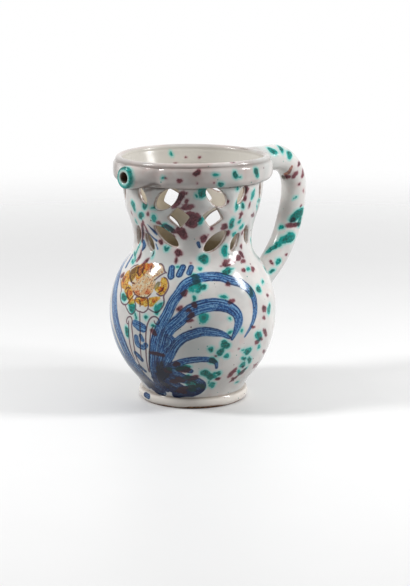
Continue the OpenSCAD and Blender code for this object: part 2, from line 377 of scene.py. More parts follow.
# %% Triangles between the points, with the windows left open
row_length = len(neck_turns)
edges = []
for row in (0, 1, len(neck_rows) - 1):
    line = number[row * row_length:(row + 1) * row_length]
    edges += list(zip(line[:-1], line[1:]))
for column in (0, row_length - 1):
    line = number[column::row_length]
    edges += list(zip(line[:-1], line[1:]))
edge_rings, sheet, sheet_gap = [], [flat], [kept_gap]
for rings_of_cut in cuts:
    starts = []
    for step, ring in zip(EDGE_STEPS, rings_of_cut):
        start = sum(len(part) for part in sheet)
        starts.append(start)
        sheet.append(ring)
        sheet_gap.append(np.full(len(ring), step))
        if step < 0.5:
            loop = np.arange(start, start + len(ring))
            edges += list(zip(loop, np.roll(loop, -1)))
    edge_rings.append(starts)
sheet, sheet_gap = np.vstack(sheet), np.concatenate(sheet_gap)
joined = delaunay_2d_cdt([Vector(p) for p in sheet.tolist()],
                         [(int(a), int(b)) for a, b in edges], [], 0, 1e-6)
sheet = np.array([tuple(p) for p in joined[0]])
source = np.array([ids[0] for ids in joined[3]])
if len(source) != len(sheet_gap) or (np.sort(source) != np.arange(len(source))).any():
    raise RuntimeError("the joiner moved points of the neck")
triangles = source[np.array(joined[2])]
sheet = sheet[np.argsort(source)]
middles = sheet[triangles].mean(1)
triangles = triangles[gap_to_windows(middles) > 0]
print(len(triangles), "triangles on each side of the neck")

# %% Roll the sheet up: outside, inside and the rounded edges of the cuts
OUTER_ROUND, INNER_ROUND = 1.7, 1.1
HOLLOW_DEPTH, HOLLOW_REACH = 0.9, 3.2


def rounded(gap, radius):
    """How far a surface has fallen back at a distance from a cut's edge."""
    inward = np.clip(radius - gap, 0, radius)
    return radius - np.sqrt(np.maximum(radius ** 2 - inward ** 2, 0))


def soft_hollow(gap):
    """The clay gives way a little beside each cut, which leaves the bars as low ridges."""
    return HOLLOW_DEPTH * np.exp(-(np.maximum(gap, 0) / HOLLOW_REACH) ** 2)


seam_column = np.arange(len(sheet))
last = number[row_length - 1::row_length]
seam_column[last] = number[0::row_length]
triangles = seam_column[triangles]
turns, heights = sheet[:, 0] / FLAT, sheet[:, 1]
outside_r = pot_radius(heights) - rounded(sheet_gap, OUTER_ROUND) - soft_hollow(sheet_gap)
inside_r = inside_radius(heights) + rounded(sheet_gap, INNER_ROUND)
count = len(sheet)
neck_points = [thrown(outside_r, turns, heights), thrown(inside_r, turns, heights)]
neck_faces = [tuple(f) for f in triangles] + [tuple(f[::-1] + count) for f in triangles]
extra = 2 * count
for starts in edge_rings:
    size = len(cuts[0][0])
    ring = np.arange(starts[0], starts[0] + size)
    loops = [ring]
    for share in (0.33, 0.67):
        radius = outside_r[ring] * (1 - share) + inside_r[ring] * share
        neck_points.append(thrown(radius, turns[ring], heights[ring]))
        loops.append(np.arange(extra, extra + size))
        extra += size
    loops.append(ring + count)
    for low, high in zip(loops[:-1], loops[1:]):
        neck_faces += bridge(low, high)
print(extra, "points before the rim is added")

# %% [markdown]
# ## Lip
# Above the windows the wall runs on behind the band and ends in a rolled lip. Its rings
# start on the top row of the outer sheet, go over the roll, and come down to the top row
# of the inner sheet, so neck and lip are one closed shell.

# %% Close the neck with the rolled lip and the seam face
LIP_RADIUS, LIP_MIDDLE, LIP_ROLL = 59.5, 197.6, 3.0
lip_line = [(58.3, 187), (59.0, 190.5), (59.6, 193.5), (61.2, 195.2)]
lip_line += [(LIP_RADIUS + LIP_ROLL * math.cos(a), LIP_MIDDLE + LIP_ROLL * math.sin(a))
             for a in np.radians(np.arange(-10, 191, 12.5))]
lip_line += [(inside_radius(z), z) for z in np.arange(196, NECK_TOP, -1.5)]
ring_turns = neck_turns[:-1]
columns = len(ring_turns)
top_row = number[(len(neck_rows) - 1) * row_length:][:columns]
seam_row = number[:columns]
loops = [top_row]
for radius, height in lip_line:
    neck_points.append(thrown(radius, ring_turns, height))
    loops.append(np.arange(extra, extra + columns))
    extra += columns
loops.append(top_row + count)
for low, high in list(zip(loops[:-1], loops[1:])) + [(seam_row + count, seam_row)]:
    neck_faces += bridge(low, high)
neck_points = np.vstack(neck_points)
used = np.unique(np.concatenate([np.ravel(f) for f in neck_faces]))
renumber = np.full(len(neck_points), -1)
renumber[used] = np.arange(len(used))
neck_faces = [tuple(int(v) for v in renumber[list(f)]) for f in neck_faces]
neck = make_piece("jug_neck", neck_points[used], neck_faces, "neck", 60)

# %% [markdown]
# ## Rim band
# The channel round the rim is closed by a strip of clay that the potter bends round the
# neck and smooths down, so its cross section is a thin C. The C is drawn as one closed
# line and turned about the axis. Two round holes are bored through it, one for the handle
# and one for the spout.

# %% Draw the cross section of the band
BAND_RADIUS, LOW_EDGE, HIGH_EDGE, BAND_WALL = 64.3, 6.0, 4.5, 2.7
CHANNEL_EDGE, CHANNEL_TOP = 1.5, 193.3
SPOUT_HEIGHT, HANDLE_HEIGHT, BORE = 188.4, 189.4, 4.0


def corner(middle_r, middle_z, radius, start, end, steps):
    """Points of a rounded corner of a cross section, from one angle to another."""
    a = np.radians(np.linspace(start, end, steps))
    return list(zip(middle_r + radius * np.cos(a), middle_z + radius * np.sin(a)))


def band_line():
    low = (BAND_RADIUS - LOW_EDGE, BAND_BOTTOM + LOW_EDGE)
    high = (BAND_RADIUS - HIGH_EDGE, BAND_TOP - HIGH_EDGE)
    outside = corner(*low, LOW_EDGE, -104, 0, 16)
    outside += [(BAND_RADIUS + 0.12 * math.sin(t), z)
                for t, z in zip(np.linspace(0.4, 2.8, 6), np.linspace(188, 192.7, 6))]
    outside += corner(*high, HIGH_EDGE, 0, 90, 14) + [(59.3, BAND_TOP - 0.3)]
    channel = [(59.7, CHANNEL_TOP)]
    channel += corner(BAND_RADIUS - BAND_WALL - CHANNEL_EDGE, CHANNEL_TOP - CHANNEL_EDGE,
                      CHANNEL_EDGE, 90, 0, 5)
    channel += corner(*low, LOW_EDGE - BAND_WALL, 0, -90, 8) + [(57.5, BAND_BOTTOM + 2.8)]
    return outside + channel


band_rings = np.array(band_line())
band_turns = np.unique(np.concatenate([
    spaced(-90, 80, 0.9), spaced(80, 270, 1.6)]).round(4))[:-1]
print(len(band_rings), "points round the cross section of the band")

# %% A drill, and a way to cut with it
def cut_away(piece, cutters, sharp=50):
    """Cuts closed bodies out of a piece and throws the cutters away."""
    for cutter in cutters:
        cut = piece.modifiers.new("cut", "BOOLEAN")
        cut.operation, cut.solver, cut.object = "DIFFERENCE", "EXACT", cutter
    bpy.context.view_layer.update()
    graph = bpy.context.evaluated_depsgraph_get()
    mesh = bpy.data.meshes.new_from_object(piece.evaluated_get(graph))
    piece.modifiers.clear()
    old, piece.data = piece.data, mesh
    bpy.data.meshes.remove(old)
    mesh.name = piece.name
    for cutter in cutters:
        bpy.data.objects.remove(cutter)
    finish_surface(piece, sharp)


def drill(start, end, radius, sides=48):
    """A round cutter between two points in millimetres."""
    work = bmesh.new()
    start, end = Vector(start) * MM, Vector(end) * MM
    axis = (end - start).normalized()
    across = axis.orthogonal().normalized()
    other = axis.cross(across)
    rings = []
    for middle in (start, end):
        rings.append([
            work.verts.new(middle + radius * MM * (math.cos(a) * across + math.sin(a) * other))
            for a in np.linspace(0, 2 * math.pi, sides, endpoint=False)])
    for i in range(sides):
        j = (i + 1) % sides
        work.faces.new((rings[0][i], rings[0][j], rings[1][j], rings[1][i]))
    work.faces.new(rings[0][::-1])
    work.faces.new(rings[1])
    bmesh.ops.recalc_face_normals(work, faces=work.faces)
    mesh = bpy.data.meshes.new("drill")
    work.to_mesh(mesh)
    work.free()
    cutter = bpy.data.objects.new("drill", mesh)
    bpy.context.scene.collection.objects.link(cutter)
    return cutter


print("a drill of 48 sides is round to", round(BORE * (1 - math.cos(math.pi / 48)), 3), "mm")

# %% Make the band, press the thumbs in and bore it
SPOUT_TURN = -48
THUMB_DEPTH, THUMB_PLACE, THUMB_WIDTH, BAND_SKIN = 1.3, 25.5, 4.6, 61.8


def thumb_press(radius, turn):
    """Two shallow hollows where the potter's thumbs pressed the spout's root home."""
    beside = np.abs((turn - SPOUT_TURN + 180) % 360 - 180) * math.radians(1) * BAND_RADIUS
    press = THUMB_DEPTH * np.exp(-((beside - THUMB_PLACE) / THUMB_WIDTH) ** 2)
    return np.where(radius > BAND_SKIN, press, 0)


band_radii = band_rings[:, :1] - thumb_press(band_rings[:, :1], band_turns[None])
points = thrown(band_radii, band_turns[None], band_rings[:, 1:]).reshape(-1, 3)
faces = join_rings(len(band_rings), len(band_turns), loop=True)
band = make_piece("jug_rim_band", points, faces, "rim_band", 60)
cut_away(band, [drill((-58.5, 0, SPOUT_HEIGHT), (-70, 0, SPOUT_HEIGHT), BORE),
                drill((59.9, 0, HANDLE_HEIGHT), (70, 0, HANDLE_HEIGHT), BORE)], 60)

# %% [markdown]
# ## Spout
# The drinker's mouthpiece is a stub of clay with a pinched round mouth. Its root is
# smeared far out along the band and up to the lip, so it isn't a plain tube. Each line of
# the surface runs from the mouth to the band as a bent curve with three handles: one on
# the mouth, one near the band, and one where it lies down on the band. The root is drawn
# as a rounded rectangle, wide along the band and no higher than it.

# %% Sizes of the spout, and the skin that it lies on
SPOUT_TIP, MOUTH_RADIUS, MOUTH_EDGE = 72.0, 8.8, 1.9
ROOT_HALF_WIDTH, ROOT_TOP, ROOT_BOTTOM = 23.5, 197.8, 179.4
SPOUT_COLUMNS = 112


def band_surface(height):
    """Outer radius of the band at a height."""
    height = np.asarray(height, float)
    low = BAND_RADIUS - LOW_EDGE + np.sqrt(
        np.maximum(LOW_EDGE ** 2 - (BAND_BOTTOM + LOW_EDGE - height) ** 2, 0))
    high = BAND_RADIUS - HIGH_EDGE + np.sqrt(
        np.maximum(HIGH_EDGE ** 2 - (height - BAND_TOP + HIGH_EDGE) ** 2, 0))
    middle = np.full_like(height, BAND_RADIUS)
    return np.where(height < BAND_BOTTOM + LOW_EDGE, low,
                    np.where(height > BAND_TOP - HIGH_EDGE, high, middle))


print("at the spout the band's skin is", band_surface(SPOUT_HEIGHT), "mm from the axis")

# %% Make the spout from the bore out to the root
def spout_rows():
    a = np.linspace(0, 2 * math.pi, SPOUT_COLUMNS, endpoint=False)
    side, up = np.cos(a), np.sin(a)
    unit = np.ones_like(a)

    def ring(reach, radius):
        return np.column_stack([-reach * unit, radius * side, SPOUT_HEIGHT + radius * up])

    rows = [ring(61.75, BORE), ring(65.5, BORE - 0.1), ring(69.6, BORE - 0.1)]
    for t in np.radians(np.linspace(200, 90, 7)):
        rows.append(ring(SPOUT_TIP - 1.5 + 1.5 * math.sin(t), BORE + 1.4 + 1.5 * math.cos(t)))
    for t in np.radians(np.linspace(90, -8, 9)):
        rows.append(ring(SPOUT_TIP - MOUTH_EDGE + MOUTH_EDGE * math.sin(t),
                         MOUTH_RADIUS - MOUTH_EDGE + MOUTH_EDGE * math.cos(t)))
    mouth = rows[-1]
    soft_side = np.sign(side) * np.abs(side) ** 0.85
    soft_up = np.sign(up) * np.abs(up) ** 0.8
    root_z = np.where(soft_up > 0, SPOUT_HEIGHT + soft_up * (ROOT_TOP - SPOUT_HEIGHT),
                      SPOUT_HEIGHT + soft_up * (SPOUT_HEIGHT - ROOT_BOTTOM))
    root_y = ROOT_HALF_WIDTH * soft_side
    root_r = np.where(root_z < BAND_BOTTOM + 0.5,
                      pot_radius(root_z) + 0.1, band_surface(root_z) - 0.12)
    root_turn = np.degrees(np.arcsin(root_y / root_r)) + SPOUT_TURN
    root_r = root_r - thumb_press(root_r, root_turn)
    root = np.column_stack([-np.sqrt(root_r ** 2 - root_y ** 2), root_y, root_z])
    near = mouth + (root - mouth) * np.array([1.0, 0.42, 0.45])
    near[:, 0] = -65.2 - 0.8 * np.maximum(up, 0) + 2.2 * np.maximum(-up, 0)
    for t in np.linspace(0, 1, 20)[1:]:
        rows.append((1 - t) ** 2 * mouth + 2 * t * (1 - t) * near + t * t * root)
    sunk = root.copy()
    sunk[:, :2] *= 1 - 1.3 / np.hypot(root[:, 0], root[:, 1])[:, None]
    rows.append(sunk)
    return rows


rows = np.array(spout_rows()).reshape(-1, 3)
spout_turn = find_turn(rows)
rows[:, 2] += rim_sag(spout_turn, rows[:, 2])
swell = hand_wave(spout_turn, rows[:, 2]) / np.hypot(rows[:, 0], rows[:, 1])
rows[:, :2] *= 1 + swell[:, None]
faces = join_rings(len(rows) // SPOUT_COLUMNS, SPOUT_COLUMNS, loop=True)
spout = make_piece("jug_spout", rows * MM, faces, "spout", 70)

# %% [markdown]
# ## Hollow handle
# The handle is a pulled tube: straight out of the band, round a bend, and down in one long
# curve into the shoulder. A curve object with a bevel would make a tube as well, but its
# ends couldn't spread where they are pressed on to the pot. So rings are laid along the
# middle line, each square to it, and the last ones are widened. The tube has its bore, and
# the hidden hole that the drinker must cover is drilled through the inner side of the bend.

# %% The middle line of the handle
HANDLE_RADIUS = 10.6
HANDLE_START, BEND_X, BEND_RADIUS = 57.0, 89.5, 26.5
SWEEP_RADIUS, SWEEP_TURN = 91.0, 67.5
BEND_Z = HANDLE_HEIGHT - BEND_RADIUS
SWEEP_X = BEND_X + BEND_RADIUS - SWEEP_RADIUS


def handle_line():
    """Middle points, directions and lengths along the handle, in millimetres."""
    x = spaced(HANDLE_START, BEND_X, 0.9)
    line = [(v, HANDLE_HEIGHT, 0.0) for v in x]
    line += [(BEND_X + BEND_RADIUS * math.sin(a), BEND_Z + BEND_RADIUS * math.cos(a), -a)
             for a in np.radians(spaced(0, 90, 2.0))[1:]]
    line += [(SWEEP_X + SWEEP_RADIUS * math.cos(a), BEND_Z - SWEEP_RADIUS * math.sin(a),
              -math.pi / 2 - a) for a in np.radians(spaced(0, SWEEP_TURN, 0.6))[1:]]
    line = np.array(line)
    step = np.hypot(np.diff(line[:, 0]), np.diff(line[:, 1]))
    return line, np.append(0, np.cumsum(step))


handle_middle, handle_along = handle_line()
print("the handle's middle line is", round(handle_along[-1]), "mm long")

# %% Make the handle with its bore and its hidden hole
HANDLE_COLUMNS = 72
BAND_SPREAD, BELLY_SPREAD, SPREAD_REACH = 5.2, 1.8, 5.0
TOP_RUN, LOWER_HALF, FAR_AWAY = 180, 100, 99.0


def handle_ring(index, radius_in, spread_side, spread_all):
    """One ring. Angle 0 faces the finger gap, and -90 degrees faces -Y."""
    x, z, lean = handle_middle[index]
    a = np.radians(np.arange(HANDLE_COLUMNS) * 360 / HANDLE_COLUMNS - 180)
    inner = np.array([math.sin(lean), 0, -math.cos(lean)])
    side = np.array([0, 1, 0])
    r = radius_in + spread_all
    across = r * np.cos(a)[:, None] * inner
    sideways = (r + spread_side) * np.sin(a)[:, None] * side
    return np.array([x, 0, z]) + across + sideways


outer_rows, bore_rows = [], []
for i, along in enumerate(handle_along):
    x, z, _ = handle_middle[i]
    from_band = max(0.0, x - 63.5) if z > TOP_RUN else FAR_AWAY
    to_belly = max(0.0, x - pot_radius(z)) if along > LOWER_HALF else FAR_AWAY
    hand = 0.22 * math.sin(along / 13) + 0.15 * math.sin(along / 5.3 + 1)
    spread_side = BAND_SPREAD * math.exp(-(from_band / SPREAD_REACH) ** 1.3)
    spread_all = BELLY_SPREAD * math.exp(-(to_belly / SPREAD_REACH) ** 1.2) + hand
    if z > TOP_RUN and from_band < 20:
        spread_all = hand * min(1, from_band / 10)
    outer_rows.append(handle_ring(i, HANDLE_RADIUS, spread_side, spread_all))
    bore_rows.append(handle_ring(i, BORE, 0, 0))
rows = np.array(outer_rows + bore_rows[::-1]).reshape(-1, 3)
faces = join_rings(2 * len(handle_along), HANDLE_COLUMNS, loop=True)
handle = make_piece("jug_handle", rows * MM, faces, "handle", 60)
VENT_TURN, VENT_RADIUS = math.radians(30), 2.5
vent_way = np.array([math.cos(VENT_TURN), 0, math.sin(VENT_TURN)])
vent_from = np.array([BEND_X, 0, BEND_Z]) + vent_way * 8
vent_to = np.array([BEND_X, 0, BEND_Z]) + vent_way * BEND_RADIUS
cut_away(handle, [drill(vent_from, vent_to, VENT_RADIUS)], 60)

# %% [markdown]
# ## Foot
# The foot is a turned ring. The glaze runs down over it and stops in an uneven line a
# little above the table, where the maker wiped it off so that it wouldn't stick to the
# kiln shelf. Below that line the bare clay shows, a quarter of a millimetre further in.

# %% Make the foot ring
FOOT_MIDDLE, FOOT_ROLL, FOOT_WIDEST, FOOT_HOLLOW = 39.2, 6.0, 4.565, 34.0
GLAZE_DEPTH, WORN_EDGE = 0.28, 0.35


def glaze_line(turn):
    """Height where the glaze ends on the foot, in millimetres."""
    t = np.radians(turn)
    return 1.4 + 0.5 * np.sin(3 * t + 1) + 0.3 * np.sin(7 * t) + 0.25 * np.sin(13 * t + 2)


foot_turns = spaced(-90, 270, 1.0)[:-1]
around = np.radians(foot_turns)
wave = 0.22 * np.sin(around * 2 + 1) + 0.1 * np.sin(around * 5)
foot_rings = []
for z in np.concatenate([[0.0, 0.12, 0.3], spaced(0.6, FOOT_HEIGHT, 0.35)]):
    r = FOOT_MIDDLE + math.sqrt(FOOT_ROLL ** 2 - (z - FOOT_WIDEST) ** 2)
    skin = GLAZE_DEPTH * np.clip((z - glaze_line(foot_turns)) / 0.5, -1, 0)
    chip = WORN_EDGE if z == 0 else 0
    foot_rings.append(place(r + skin - chip + wave, foot_turns, z))
for r, z in [(41.0, FOOT_HEIGHT), (FOOT_HOLLOW + 0.5, FOOT_HEIGHT), (FOOT_HOLLOW, 7.8),
             (FOOT_HOLLOW, 4.0), (FOOT_HOLLOW, 0.6), (FOOT_HOLLOW + 0.6, 0.0)]:
    foot_rings.append(place(r, foot_turns, z))
points = np.array(foot_rings).reshape(-1, 3)
faces = join_rings(len(foot_rings), len(foot_turns), loop=True)
foot = make_piece("jug_foot_ring", points, faces, "foot_ring", 50)

# %% [markdown]
# ## Floor of the jug and its sucking duct
# The potter turns the foot from the same clay as the floor, so in the frame the floor
# belongs to the foot. Only its upper side can be seen, through the mouth. The duct is a
# strip of clay that is luted up the inside of the belly under the handle. It keeps the
# frame's own shape and only gets its glaze.

# %% Make the floor
def floor_rings():
    edge = inside_radius(FOOT_HEIGHT), inside_radius(BELLY_FLOOR)
    over = [(r, BELLY_FLOOR + 0.25 * math.exp(-(r / 9) ** 2)) for r in (4, 9, 15, 22, 30)]
    under = [(r, FOOT_HEIGHT) for r in (30, 16, 5)]
    rim = [(edge[1], BELLY_FLOOR), (inside_radius(11.5), 11.5), (edge[0], FOOT_HEIGHT)]
    return np.array(over + rim + under)


rings = floor_rings()
floor_turns = spaced(-90, 270, 5)[:-1]
points = thrown(rings[:, :1], floor_turns[None], rings[:, 1:]).reshape(-1, 3)
points = np.vstack([points, place(0, 0, BELLY_FLOOR + 0.25), place(0, 0, FOOT_HEIGHT)])
columns = len(floor_turns)
faces = join_rings(len(rings), columns)
faces += fan(len(points) - 2, 0, columns, False)
faces += fan(len(points) - 1, (len(rings) - 1) * columns, columns, True)
pot_floor = make_piece("jug_floor", points, faces, "foot_ring")

# %% [markdown]
# ## Painting as measured distances
# The painter works on the raw white glaze with a loaded brush: wide blue fronds that cross
# near the foot, thin plum lines, a stippled yellow flower, and green and plum drops that
# are flicked on last and bleed in the fire. The folk pattern is a traditional one. It could
# be an image texture, but then it would be as coarse as its pixels. Here each brush mark
# is a line or a spot on the curved wall, and every vertex stores how far it lies from the
# mark's edge. The shader turns those distances into colour, so edges can bleed and wobble.

# %% Places on the pot's skin and on the handle
MARKS = ["blue_edge", "blue_across", "blue_along", "blue_coats", "green_edge", "plum_edge",
         "line_edge", "yellow_edge", "orange_edge", "peach_edge", "olive_edge", "rust_edge",
         "fold_shadow_edge"]
FAR = 9.0
UP = np.array([0.0, 0.0, 1.0])


def skin_radius(height):
    """Outer radius of the whole jug at a height, from the foot to the lip."""
    height = np.asarray(height, float)
    foot = FOOT_MIDDLE + np.sqrt(np.maximum(FOOT_ROLL ** 2 - (height - FOOT_WIDEST) ** 2, 0))
    lip = LIP_RADIUS + np.sqrt(np.maximum(LIP_ROLL ** 2 - (height - LIP_MIDDLE) ** 2, 0))
    body = np.where(height < BAND_BOTTOM, pot_radius(height), band_surface(height))
    return np.where(height < FOOT_HEIGHT, foot, np.where(height > 197.8, lip, body))


def on_pot(turn, height, inside=False):
    """Point in millimetres, outward normal, and the ways right and up along the skin."""
    radius_at = inside_radius if inside else skin_radius
    turn, height = np.broadcast_arrays(np.asarray(turn, float), np.asarray(height, float))
    angle = np.radians(FRONT_TURN + turn)
    away = np.stack([np.cos(angle), np.sin(angle), 0 * angle], -1)
    right = np.stack([-np.sin(angle), np.cos(angle), 0 * angle], -1)
    slope = (radius_at(height + 0.4) - radius_at(height - 0.4)) / 0.8
    up = away * slope[..., None] + UP
    up /= np.linalg.norm(up, axis=-1, keepdims=True)
    normal = np.cross(right, up) * (-1 if inside else 1)
    point = away * (radius_at(height) + hand_wave(turn, height))[..., None]
    return point + UP * (height + rim_sag(turn, height))[..., None], normal, right, up


def on_handle(along, angle):
    """The same for the handle: millimetres along it, and degrees round it."""
    i = int(np.abs(handle_along - along).argmin())
    x, z, lean = handle_middle[i]
    inner = np.array([math.sin(lean), 0, -math.cos(lean)])
    forward = np.array([math.cos(lean), 0, math.sin(lean)])
    a = math.radians(angle)
    side = np.array([0.0, 1.0, 0.0])
    normal = math.cos(a) * inner + math.sin(a) * side
    way = -math.sin(a) * inner + math.cos(a) * side
    return np.array([x, 0, z]) + HANDLE_RADIUS * normal, normal, forward, way


print("the flower's middle is at", on_pot(-38, 103)[0].round(1))

# %% Read the skins of the finished meshes
def read_skin(piece):
    mesh = piece.data
    at, out = np.zeros(len(mesh.vertices) * 3), np.zeros(len(mesh.vertices) * 3)
    mesh.vertices.foreach_get("co", at)
    mesh.vertex_normals.foreach_get("vector", out)
    skin = {"piece": piece, "at": at.reshape(-1, 3) / MM, "out": out.reshape(-1, 3)}
    skin.update({mark: np.full(len(mesh.vertices), FAR) for mark in MARKS})
    skin["blue_coats"][:] = 0
    return skin


def close_to(skin, low, high, normal):
    inside = ((skin["at"] > low) & (skin["at"] < high)).all(1)
    return np.nonzero(inside & (skin["out"] @ normal > 0.15))[0]


pot_pieces = [belly, neck, band, spout, foot]
skins = [read_skin(piece) for piece in pot_pieces + [handle]]
pot_skins, handle_skin = skins[:-1], skins[-1:]
print(sum(len(s["at"]) for s in skins), "points can take colour")

# %% Lay a spot of colour
def lay_spot(skins, mark, where, length, width, lean, uneven=0.0):
    """A spot of colour: an ellipse on the skin with an uneven edge."""
    point, normal, right, up = where
    a = math.radians(lean)
    long_way = math.cos(a) * right + math.sin(a) * up
    short_way = math.cos(a) * up - math.sin(a) * right
    reach = length / 2 + 5
    for skin in skins:
        near = close_to(skin, point - reach, point + reach, normal)
        if not len(near):
            continue
        off = skin["at"][near] - point
        u, v = off @ long_way, off @ short_way
        spin = np.arctan2(v, u)
        grown = 1 + uneven * (np.sin(2 * spin + 3 * length) + 0.7 * np.sin(3 * spin + 5 * width))
        share = np.hypot(2 * u / length, 2 * v / width) / grown
        edge = np.hypot(u, v) * (1 - 1 / np.maximum(share, 0.05))
        edge = np.maximum(edge, -width / 2 * (1 - share))
        skin[mark][near] = np.minimum(skin[mark][near], edge)


bud, bud_normal, _, _ = on_pot(-38, 103)
print("5 mm round the flower's middle lie",
      len(close_to(skins[0], bud - 5, bud + 5, bud_normal)), "points")

# %% Lay a stroke of the brush
def smooth_line(points, step=0.8):
    """A curve through the given places, as evenly spaced places of turn and height."""
    p = np.array(points, float)
    p = np.vstack([2 * p[0] - p[1], p, 2 * p[-1] - p[-2]])
    t = np.linspace(0, 1, 24, endpoint=False)[:, None]
    parts = [0.5 * (2 * b + (c - a) * t + (2 * a - 5 * b + 4 * c - d) * t ** 2
                    + (3 * b - a - 3 * c + d) * t ** 3)
             for a, b, c, d in zip(p, p[1:], p[2:], p[3:])]
    line = np.vstack(parts + [p[-2:-1]])
    solid = on_pot(line[:, 0], line[:, 1])[0]
    along = np.append(0, np.cumsum(np.linalg.norm(np.diff(solid, axis=0), axis=1)))
    even = np.linspace(0, along[-1], max(3, int(along[-1] / step) + 1))
    return np.column_stack([np.interp(even, along, line[:, i]) for i in (0, 1)]), even


def stroke_distances(skin, point, normal, along, reach):
    """Vertices near a stroke with their side distance, place along it and full distance."""
    near = close_to(skin, point.min(0) - reach, point.max(0) + reach, normal.mean(0))
    if not len(near):
        return near, None, None, None
    forward = np.gradient(point, axis=0)
    forward /= np.linalg.norm(forward, axis=1)[:, None]
    side = np.cross(normal, forward)
    at = skin["at"][near]
    apart = (at ** 2).sum(1)[:, None] + (point ** 2).sum(1)[None] - 2 * at @ point.T
    i = apart.argmin(1)
    off = at - point[i]
    over, across = (off * forward[i]).sum(1), (off * side[i]).sum(1)
    beyond = np.where((i == 0) | (i == len(point) - 1), over, 0)
    return near, across, along[i] + over, (i, np.hypot(across, beyond))


def lay_stroke(skins, points, widths, mark="line_edge"):
    """One brush stroke. The widths are spread evenly along it."""
    line, along = smooth_line(points)
    point, normal, _, _ = on_pot(line[:, 0], line[:, 1])
    half = np.interp(along / along[-1], np.linspace(0, 1, len(widths)), widths) / 2
    for skin in skins:
        near, across, place_along, more = stroke_distances(
            skin, point, normal, along, max(widths) / 2 + 3)
        if not len(near):
            continue
        i, far = more
        edge = far - half[i]
        if mark == "blue_edge":
            on_top = edge < skin["blue_edge"][near]
            top = near[on_top]
            skin["blue_across"][top] = np.clip(across[on_top] / half[i][on_top], -1.5, 1.5)
            skin["blue_along"][top] = place_along[on_top]
            skin["blue_coats"][near] += np.clip(0.5 - edge / 0.8, 0, 1)
        skin[mark][near] = np.minimum(skin[mark][near], edge)


print("a stroke over 20 degrees of the belly is",
      round(smooth_line([(-10, 72), (10, 72)])[1][-1]), "mm long")

# %% [markdown]
# ## Blue fronds
# The fronds spring from one root above the foot and curl over to both sides, each one a
# single pull of a wide brush that lifts off at the tip. The ones on the left answer those
# on the right and run on round the side. Where strokes cross, the blue is nearly black.

# %% Pull the fronds
FRONDS = [
    ([(-36, 18), (-33, 28), (-30.6, 41), (-28, 51.4), (-25.2, 62.7), (-21.2, 74.3), (-17.4, 83),
      (-13.9, 92.6), (-10.2, 98.8), (-5.8, 106), (3.2, 110.2), (12.5, 111.4), (21.9, 110.6),
      (29.4, 107.8), (37.3, 104.8), (43.1, 100), (46.7, 93.1), (46.6, 82.5), (43.2, 72.3),
      (36.8, 62.3)], [9, 9, 9, 9, 8.5, 8, 8, 8, 7.5, 5, 1.5]),
    ([(-29.4, 32.5), (-23.4, 48), (-20.2, 58.8), (-18.3, 66), (-15, 72.3), (-9.5, 78.4),
      (-4.2, 84.3), (1.3, 88), (10.7, 90.6), (18.8, 90.1), (25.6, 87.2), (30.4, 82.1),
      (31.6, 75.8), (29.4, 68.3), (26.8, 62.3)], [9, 9, 9, 9.5, 10.5, 10.8, 10.4, 9.5, 8, 3]),
    ([(-27, 28.9), (-22.3, 37.9), (-16.3, 49.6), (-11.8, 58.4), (-6.3, 64.8), (0.1, 68.2),
      (6.6, 70.1), (14.2, 69), (20.4, 66.7), (24.6, 63.7)], [8, 8, 8, 8, 8, 7, 3]),
    ([(-26.4, 28), (-17, 38.5), (-10.4, 42.8), (-4.5, 45.2), (3, 46.4), (10, 46.2),
      (16.2, 43.1), (17.8, 37.9)], [8, 7, 6.5, 6, 5, 2.4]),
    ([(-28, 28.8), (-19.7, 32.8), (-13.2, 32.4), (-6.5, 29.1), (1, 27.6), (7, 23.1),
      (6.4, 17), (-1.4, 14), (-9.1, 13.6), (-18.7, 11)], [8, 8, 7.5, 7, 7.5, 9, 9, 7]),
]
LEFT_FRONDS = [
    ([(-48, 19), (-54, 30.8), (-57.4, 42.1), (-60, 53.7), (-63.8, 63), (-67, 72.3),
      (-70.6, 83), (-74.6, 92), (-79, 101), (-85.5, 107.5), (-93, 111.5), (-101, 111),
      (-109, 107), (-116, 102), (-121, 96), (-124, 87), (-122, 77)],
     [12, 13, 13, 13.5, 13, 13, 12, 10, 7, 2]),
    ([(-52, 17), (-60, 27), (-67, 35), (-72, 44), (-76, 54), (-82, 64), (-88, 75), (-95, 83),
      (-103, 87), (-111, 85), (-116, 78), (-114, 68)], [11, 12, 12, 12, 11, 9, 6, 2]),
    ([(-54, 17), (-66, 27), (-76, 36), (-86, 46), (-96, 54), (-106, 57), (-113, 53)],
     [10, 9.5, 8, 7, 5, 2]),
    ([(-56, 15), (-70, 22), (-84, 28), (-96, 31), (-105, 28)], [8, 7.5, 6, 5, 3]),
]
above_foot = [skin for skin in pot_skins if skin["piece"] is not foot]
for points, widths in FRONDS + LEFT_FRONDS:
    lay_stroke(above_foot, points, widths, "blue_edge")
print(len(FRONDS), "fronds on the right and", len(LEFT_FRONDS), "on the left")

